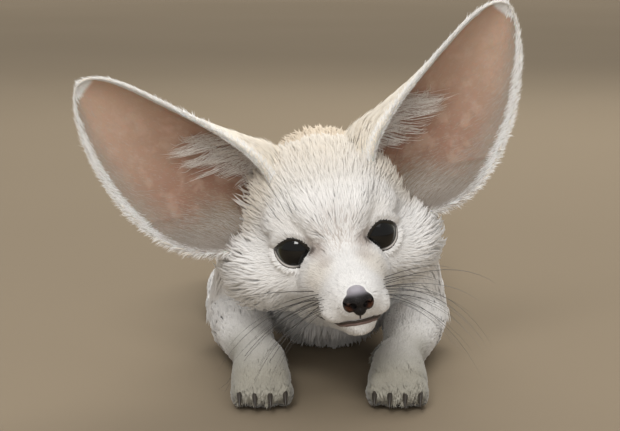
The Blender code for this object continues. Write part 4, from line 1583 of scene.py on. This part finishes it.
def ear_fields(obj, side):
    """Place on the ear and the directions towards its tip, round it and outwards, for each point."""
    share, around = read(obj.data, "share").astype(float), read(obj.data, "around").astype(float)
    tiny = 1e-3
    axes = np.array(ear_axes(side).to_3x3())
    wall = ear_wall(share, around)
    tipward = unit((wall - ear_wall(share - tiny, around)) @ axes.T)
    round_it = unit((ear_wall(share, around) - ear_wall(share, around - tiny)) @ axes.T)
    heart = ear_wall(np.array([0.55]), np.array([0.0]))
    outward = unit((wall - heart) @ axes.T)
    wrap = np.radians(ring_values(share, 2))
    side_gap = (1 - abs(around)) * wrap * ring_values(share, 1)
    edge_gap = np.minimum(side_gap, (1 - share) * EAR_LENGTH)
    inside = read(obj.data, "inside").astype(float)
    return share, around, inside, edge_gap, tipward, round_it, outward


def ear_coat(name, ground, density, rings, clump, **fields):
    """One kind of fur on one ear."""
    fields["droop"] = DROOP
    for field in ("width", "lift", "droop"):
        fields[field] = np.broadcast_to(fields[field], density.shape)
    tufts = ground.roots(density, **fields)
    line = bent(tufts, rings, clump, ground.tree, leaders=LEADERS if clump < 0.6 else FRINGE_LEADERS)
    obj = tuft_mesh(name, line, tufts)
    print(name, len(tufts["root"]), "tufts")
    return obj


FRINGE_LEADERS = 22
ear_coats = {}
for name, side in SIDES:
    ground = Ground(ears[name])
    share, around, inside, edge_gap, tipward, round_it, outward = ear_fields(ears[name], side)
    above = eased(share, 0.05, 0.12)
    long = (5 + 6 * (1 - eased(share, 0.05, 0.75))) * (0.45 + 0.55 * eased(edge_gap, 1, 12))
    ear_coats["ear_back_" + name] = ear_coat(
        "ear_back_" + name, ground, (1 - inside) * above * 2.4 / (0.5 * 0.52 * long), 2, 0.4,
        lie=tipward + 0.2 * outward, length=long, lift=11, width=0.5)
    lateral = eased(around, 0, 0.6)
    lobe = (1 - eased(share, 0.08, 0.34)) * eased(around, -0.1, 0.5)
    brush = 1 - eased(edge_gap, 2.0, 4.0 + 2.0 * lateral)
    store(ears[name].data, "edge", edge_gap)
    ear_coats["ear_brush_" + name] = ear_coat(
        "ear_brush_" + name, ground, brush * (6.5 - 2.5 * lateral), 1, 0.3,
        lie=0.7 * outward + 0.7 * tipward, length=np.full(len(share), BRUSH_LENGTH), lift=16, width=0.34)
    ear_coats["ear_down_" + name] = ear_coat(
        "ear_down_" + name, ground, inside * (0.4 + 1.3 * lateral * eased(around, 0.5, 0.9) + 1.9 * lobe), 1, 0.3,
        lie=tipward + 0.5 * outward, length=DOWN_LENGTH * (0.8 + 0.9 * lateral + lobe), lift=13,
        width=0.18 + 0.1 * lobe)
    low = eased(share, 0.06, 0.12) * (1 - eased(share, 0.36, 0.46))
    fringe = inside * low * eased(around, -0.97, -0.85) * (1 - eased(around, -0.55, -0.35))
    lean = 0.35 + 0.55 * eased(share, 0.1, 0.4)
    ear_coats["ear_fringe_" + name] = ear_coat(
        "ear_fringe_" + name, ground, fringe * 0.62, 3, 0.66,
        lie=round_it + lean[:, None] * tipward, length=FRINGE_LENGTH * (0.8 + 0.25 * eased(share, 0.1, 0.3)),
        lift=17, width=0.2)

# %% [markdown]
# ## Whiskers
#
# Whiskers stand in rows on both pads of the muzzle, thick at the root and as fine as a thread at the tip.
# They leave the pad sideways and bend back and down under their own weight. A few grow over each eye. They
# are made as very long tufts with more rings.

# %% Whiskers
WHISKER_WIDTH = 0.32
WHISKER_RINGS = 9
RING_SHARES[WHISKER_RINGS] = tuple(np.linspace(0, 1, WHISKER_RINGS + 1))
RING_WIDTHS[WHISKER_RINGS] = tuple(np.linspace(1, 0.3, WHISKER_RINGS))
WHISKER_ROWS = (
    # y and z of the first root, number, step back, length, rise and fall of the row
    (-30, -13.0, 4, 3.4, 42, 0.16, -0.30),
    (-32, -15.4, 5, 3.3, 52, -0.02, -0.42),
    (-31, -17.8, 5, 3.2, 56, -0.20, -0.50),
    (-28, -20.0, 4, 3.2, 44, -0.36, -0.52),
)
BROW_HAIRS = ((9, -2, 11.5), (12, -1, 12.5), (15.5, 0, 12.8), (19, 2, 12.0))


def strand_piece(name, starts, ways, bends, lengths, wide):
    """Long single hairs: a start, a first direction and a bend for each, in the head's axes."""
    roots, ups, uvs = [], [], []
    for start in starts:
        spot, normal, triangle, _ = skin_ground.tree.find_nearest(HEAD @ Vector(start))
        roots.append(spot)
        ups.append(normal)
        uvs.append(skin_ground.uv[triangle].mean(0))
    turn = np.array(HEAD.to_3x3()) / MM
    shares = np.array(RING_SHARES[WHISKER_RINGS])[None, :, None]
    ways, bends = (np.array(table) @ turn.T for table in (ways, bends))
    lengths = np.array(lengths)[:, None, None] * MM
    line = np.array(roots)[:, None] + lengths * (shares * ways[:, None] + shares**2 * bends[:, None])
    tufts = {"up": np.array(ups), "uv": np.array(uvs), "width": np.full(len(roots), wide)}
    return tuft_mesh(name, line, tufts)


whiskers = []
for name, side in SIDES:
    starts, ways, bends, lengths = [], [], [], []
    for y, z, count, step, long, rise, fall in WHISKER_ROWS:
        for at in range(count):
            starts.append((side * 14, y + step * at + rng.uniform(-0.5, 0.5), z + rng.uniform(-0.4, 0.4)))
            ways.append((side * 0.92, -0.25 + 0.13 * at, rise + rng.uniform(-0.12, 0.12)))
            bends.append((side * -0.18, 0.42 + rng.uniform(-0.1, 0.1), fall + rng.uniform(-0.15, 0.1)))
            lengths.append(long * (0.74 + 0.13 * at) * rng.uniform(0.85, 1.1))
    whiskers.append(strand_piece("whiskers_" + name, starts, ways, bends, lengths, WHISKER_WIDTH))
    starts = [(side * x, y, z) for x, y, z in BROW_HAIRS]
    ways = [(side * (0.1 + 0.07 * at), -0.35, 0.9) for at in range(4)]
    bends = [(side * 0.12, 0.5, -0.1)] * 4
    whiskers.append(strand_piece("brow_hairs_" + name, starts, ways, bends, [30, 34, 32, 26], 0.2))
print("whiskers:", sum(row[2] for row in WHISKER_ROWS), "on each side")

# %% [markdown]
# ## The coat's colours
#
# The same network paints the tufts and the skin under them, by where a point is on the fox, so that a gap
# between tufts shows the right colour. Each tuft is painted darker towards its root, and the skin under the
# coat a little darker all over, as painted shade for the little light that comes in between the tufts. No
# two tufts are quite the same.

# %% Coat
WHITE = (0.80, 0.785, 0.765)
CREAM = (0.69, 0.625, 0.53)
BUFF = (0.70, 0.59, 0.45)
SAND = (0.70, 0.55, 0.37)
DARK = (0.07, 0.05, 0.04)
TEAR = (0.31, 0.235, 0.19)
DUCT_BROWN = (0.09, 0.065, 0.05)
# Painted shade for the paws, which lie in the shadow under the head
PAW_SHADE = (0.22, 0.20, 0.145)


def coat_paint(name, rooted):
    paint = Paint(name, roughness=0.62, Sheen_Weight=0.25, Sheen_Roughness=0.4)
    place = paint.place()
    y = paint.node("ShaderNodeSeparateXYZ", {}, place, output=1)
    z = paint.node("ShaderNodeSeparateXYZ", {}, place, output=2)
    patch = paint.noise(place, 38, 3)
    colour = paint.mix(0.9 * paint.near((0, 26, 38), 6, 46), WHITE, CREAM)
    for _, side in SIDES:
        colour = paint.mix(0.8 * paint.near((side * 30, 24, 24), 10, 24), colour, CREAM)
        colour = paint.mix(0.55 * paint.near((side * 11, -18, -8), 3, 11), colour, CREAM)
        colour = paint.mix(0.35 * paint.near((side * 7.4, -17, -3), 1, 5.5), colour, TEAR)
        colour = paint.mix(0.62 * paint.near((side * 8.5, -10.5, 0.4), 1.5, 6.5), colour, TEAR)
        colour = paint.mix(0.5 * paint.near((side * 10.3, -6.5, 4.2), 0.8, 5), colour, TEAR)
        colour = paint.mix(0.9 * paint.near((side * 10.7, -7.4, -0.2), 1.3, 3.4), colour, DUCT_BROWN)
    behind = paint.step(y, -0.125, -0.06)
    upper = paint.step(z + 0.03 * patch, 0.035, 0.085)
    colour = paint.mix(behind * upper, colour, BUFF)
    tail = paint.step(y, 0.11, 0.15)
    colour = paint.mix(tail * paint.step(z + 0.012 * patch, 0.004, 0.028), colour, SAND)
    colour = paint.mix(paint.near((2, 150, 50), 7, 17, BODY), colour, DARK)
    colour = paint.mix(paint.step(y + 0.02 * patch, 0.312, 0.336), colour, DARK)
    # Painted shade: the paws are mixed towards a dark olive-grey, for the shadow they lie in under the head
    paw_shade = paint.step(y, -0.115, -0.15) * paint.step(z, 0.030, 0.012)
    colour = paint.mix(0.85 * paw_shade, colour, PAW_SHADE)
    shade = 0.92 + 0.14 * patch
    if rooted:
        along, strand = paint.attribute("along"), paint.attribute("strand")
        streaks = paint.step(strand, 0.5, 0.85) * paint.near((0, -10, 7), 3, 16)
        colour = paint.mix(0.5 * streaks, colour, TEAR)
        # Painted shade: each tuft darker towards its root; the strand term is each tuft's own random tone
        shade = shade * (0.84 + 0.18 * paint.step(along, 0, 0.8)) * (0.93 + 0.12 * strand)
    else:
        # Painted shade: the skin under the coat a little darker, like the roots of the tufts
        shade = shade * 0.92
        fine = paint.noise(place, 900, 2)
        paint.bump(fine, 0.00008)
    tone = paint.node("ShaderNodeCombineColor", {}, shade, shade, shade)
    colour = paint.mix(1.0, colour, tone, blend="MULTIPLY")
    paint.feed(paint.shader.inputs["Base Color"], colour)
    return paint


skin_paint = coat_paint("skin_under_coat", False)
fur_paint = coat_paint("fur", True)
finished(skin, skin_paint)
for name, obj in coats.items():
    finished(obj, fur_paint)
print("coat painted:", len(coats), "pieces")


def plain_fur(name, first, second, root_shade=0.66):
    """Fur of one kind all over, between two tones from tuft to tuft, and painted darker towards the roots as painted
    shade.
    """
    paint = Paint(name, roughness=0.6, Sheen_Weight=0.25, Sheen_Roughness=0.4)
    along, strand = paint.attribute("along"), paint.attribute("strand")
    # Painted shade: each tuft darker towards its root
    shade = root_shade + (1.02 - root_shade) * paint.step(along, 0, 0.8)
    tone = paint.node("ShaderNodeCombineColor", {}, shade, shade, shade)
    colour = paint.mix(1.0, paint.mix(strand, first, second), tone, blend="MULTIPLY")
    paint.feed(paint.shader.inputs["Base Color"], colour)
    return paint


ear_furs = {
    "back": plain_fur("ear_back_fur", (0.84, 0.76, 0.64), (0.86, 0.80, 0.70)),
    "brush": plain_fur("ear_brush_fur", (0.84, 0.83, 0.81), (0.90, 0.89, 0.87), 0.9),
    "down": plain_fur("ear_down_fur", (0.34, 0.29, 0.24), (0.50, 0.45, 0.40), 0.85),
    "fringe": plain_fur("ear_fringe_fur", (0.84, 0.80, 0.76), (0.92, 0.90, 0.87), 0.85),
}
for name, obj in ear_coats.items():
    finished(obj, ear_furs[name.split("_")[1]])
whisker_paint = plain_fur("whisker", (0.012, 0.010, 0.009), (0.03, 0.026, 0.022), 1.0)
for obj in whiskers:
    finished(obj, whisker_paint)

# %% Ears
ear_paint = Paint("ear_skin", roughness=0.55, Subsurface_Weight=0.35, Subsurface_Scale=0.004)
share, around = ear_paint.attribute("share"), ear_paint.attribute("around")
inside = ear_paint.attribute("inside")
where = ear_paint.place()
mottle = ear_paint.noise(where, 160, 4, 0.6)
# Painted shade: the skin of the cup is darker and more orange-brown towards the root of the ear
colour = ear_paint.mix(ear_paint.step(share, 0.15, 0.9), (0.30, 0.165, 0.115), (0.46, 0.32, 0.24))
colour = ear_paint.mix(0.5 * ear_paint.step(mottle, 0.45, 0.65), colour, (0.50, 0.36, 0.28))
colour = ear_paint.mix(0.8 * ear_paint.step(around, 0.45, 0.95), colour, (0.32, 0.27, 0.22))
# Painted shade: darkest in the canal at the bottom of the cup
colour = ear_paint.mix(ear_paint.step(share, 0.22, 0.08), colour, (0.28, 0.15, 0.085))
low_lobe = ear_paint.step(share, 0.36, 0.10) * ear_paint.step(around, -0.1, 0.4)
colour = ear_paint.mix(0.7 * low_lobe, colour, (0.28, 0.24, 0.185))
colour = ear_paint.mix(ear_paint.step(ear_paint.attribute("edge"), 4.0, 2.0), colour, WHITE)
colour = ear_paint.mix(1 - inside, colour, CREAM)
ear_paint.feed(ear_paint.shader.inputs["Base Color"], colour)
ear_paint.bump(mottle, 0.0004)
for obj in ears.values():
    finished(obj, ear_paint)

# %% Eyes, nose, lips and claws
eye_paint = Paint("eye", roughness=0.3, Coat_Weight=1.0, Coat_Roughness=0.03, Specular_IOR_Level=0.0)
off = eye_paint.attribute("off_sight")
# Dark iris ring; its olive-green tint is partly the iris and partly a painted reflection of the floor
ring = eye_paint.mix(eye_paint.step(off, 34, 46), (0.004, 0.004, 0.004), (0.018, 0.021, 0.008))
ring = eye_paint.mix(eye_paint.step(off, 50, 56), ring, (0.006, 0.005, 0.005))
eye_paint.feed(eye_paint.shader.inputs["Base Color"], ring)

rim_paint = Paint("eyelid", roughness=0.32)
pale = rim_paint.attribute("pale")
# Black rim, with a painted highlight along its wet lower outer margin
rim_paint.feed(rim_paint.shader.inputs["Base Color"], rim_paint.mix(pale, (0.014, 0.012, 0.010), (0.5, 0.47, 0.44)))

nose_paint = Paint("nose", roughness=0.42, Specular_IOR_Level=0.25, Coat_Roughness=0.35)
pebbles = nose_paint.node(
    "ShaderNodeTexVoronoi", {"feature": "DISTANCE_TO_EDGE"}, nose_paint.place(), 1500)
dark = nose_paint.mix(nose_paint.step(pebbles, 0, 0.2), (0.006, 0.005, 0.005), (0.016, 0.014, 0.014))
# Painted reflection: the top of the black pad is painted lilac-grey for the sky it reflects, and given a coat there
painted_sky_reflection = nose_paint.near((0, -36.5, -7.0), 5.0, 9.0)
dark = nose_paint.mix(painted_sky_reflection, dark, (0.36, 0.34, 0.38))
for _, side in SIDES:
    dark = nose_paint.mix(nose_paint.near((side * 4.4, -42.5, -16.5), 0.8, 2.6), dark, (0.065, 0.025, 0.014))
nose_paint.feed(nose_paint.shader.inputs["Base Color"], dark)
nose_paint.feed(nose_paint.shader.inputs["Coat Weight"], 0.6 * painted_sky_reflection)
nose_paint.bump(nose_paint.step(pebbles, 0, 0.25), 0.00006)

seam_paint = Paint("mouth", roughness=0.4)
grain = seam_paint.noise(seam_paint.place(), 400)
seam_paint.feed(seam_paint.shader.inputs["Base Color"], seam_paint.mix(grain, (0.03, 0.022, 0.018), (0.07, 0.05, 0.04)))
lip_paint = Paint("lip", roughness=0.4)
grain = lip_paint.noise(lip_paint.place(), 400)
lip_paint.feed(lip_paint.shader.inputs["Base Color"], lip_paint.mix(grain, (0.12, 0.075, 0.065), (0.22, 0.15, 0.13)))

claw_paint = Paint("claw", roughness=0.35)
grain = claw_paint.noise(claw_paint.place(), 700)
claw_paint.feed(claw_paint.shader.inputs["Base Color"], claw_paint.mix(grain, (0.015, 0.012, 0.010), (0.05, 0.04, 0.03)))
for obj in eyes.values():
    finished(obj, eye_paint)
for obj in rims.values():
    finished(obj, rim_paint)
finished(nose, nose_paint)
finished(mouth_seam, seam_paint)
finished(lip_parting, seam_paint)
finished(lower_lip, lip_paint)
for obj in claws:
    finished(obj, claw_paint)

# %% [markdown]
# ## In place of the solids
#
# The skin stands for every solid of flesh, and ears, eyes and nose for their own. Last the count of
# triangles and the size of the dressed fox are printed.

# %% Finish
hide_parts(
    "head", "neck", "torso", "tail", "foreleg_left", "foreleg_right", "hindleg_left",
    "hindleg_right", "forepaw_left", "forepaw_right", "hindpaw_left", "hindpaw_right")
for name, _ in SIDES:
    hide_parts("ear_" + name)
    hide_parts("eye_" + name)
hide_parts("nose_pad")

triangles = {}
for obj in bpy.data.objects:
    if obj.type == "MESH" and not obj.name.startswith("floor"):
        obj.data.calc_loop_triangles()
        triangles[obj.name] = len(obj.data.loop_triangles)
print("triangles:", sum(triangles.values()), "largest:", max(triangles.items(), key=lambda pair: pair[1]))
low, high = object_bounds()
print("dressed, millimetres:", [round(side / MM, 1) for side in high - low])
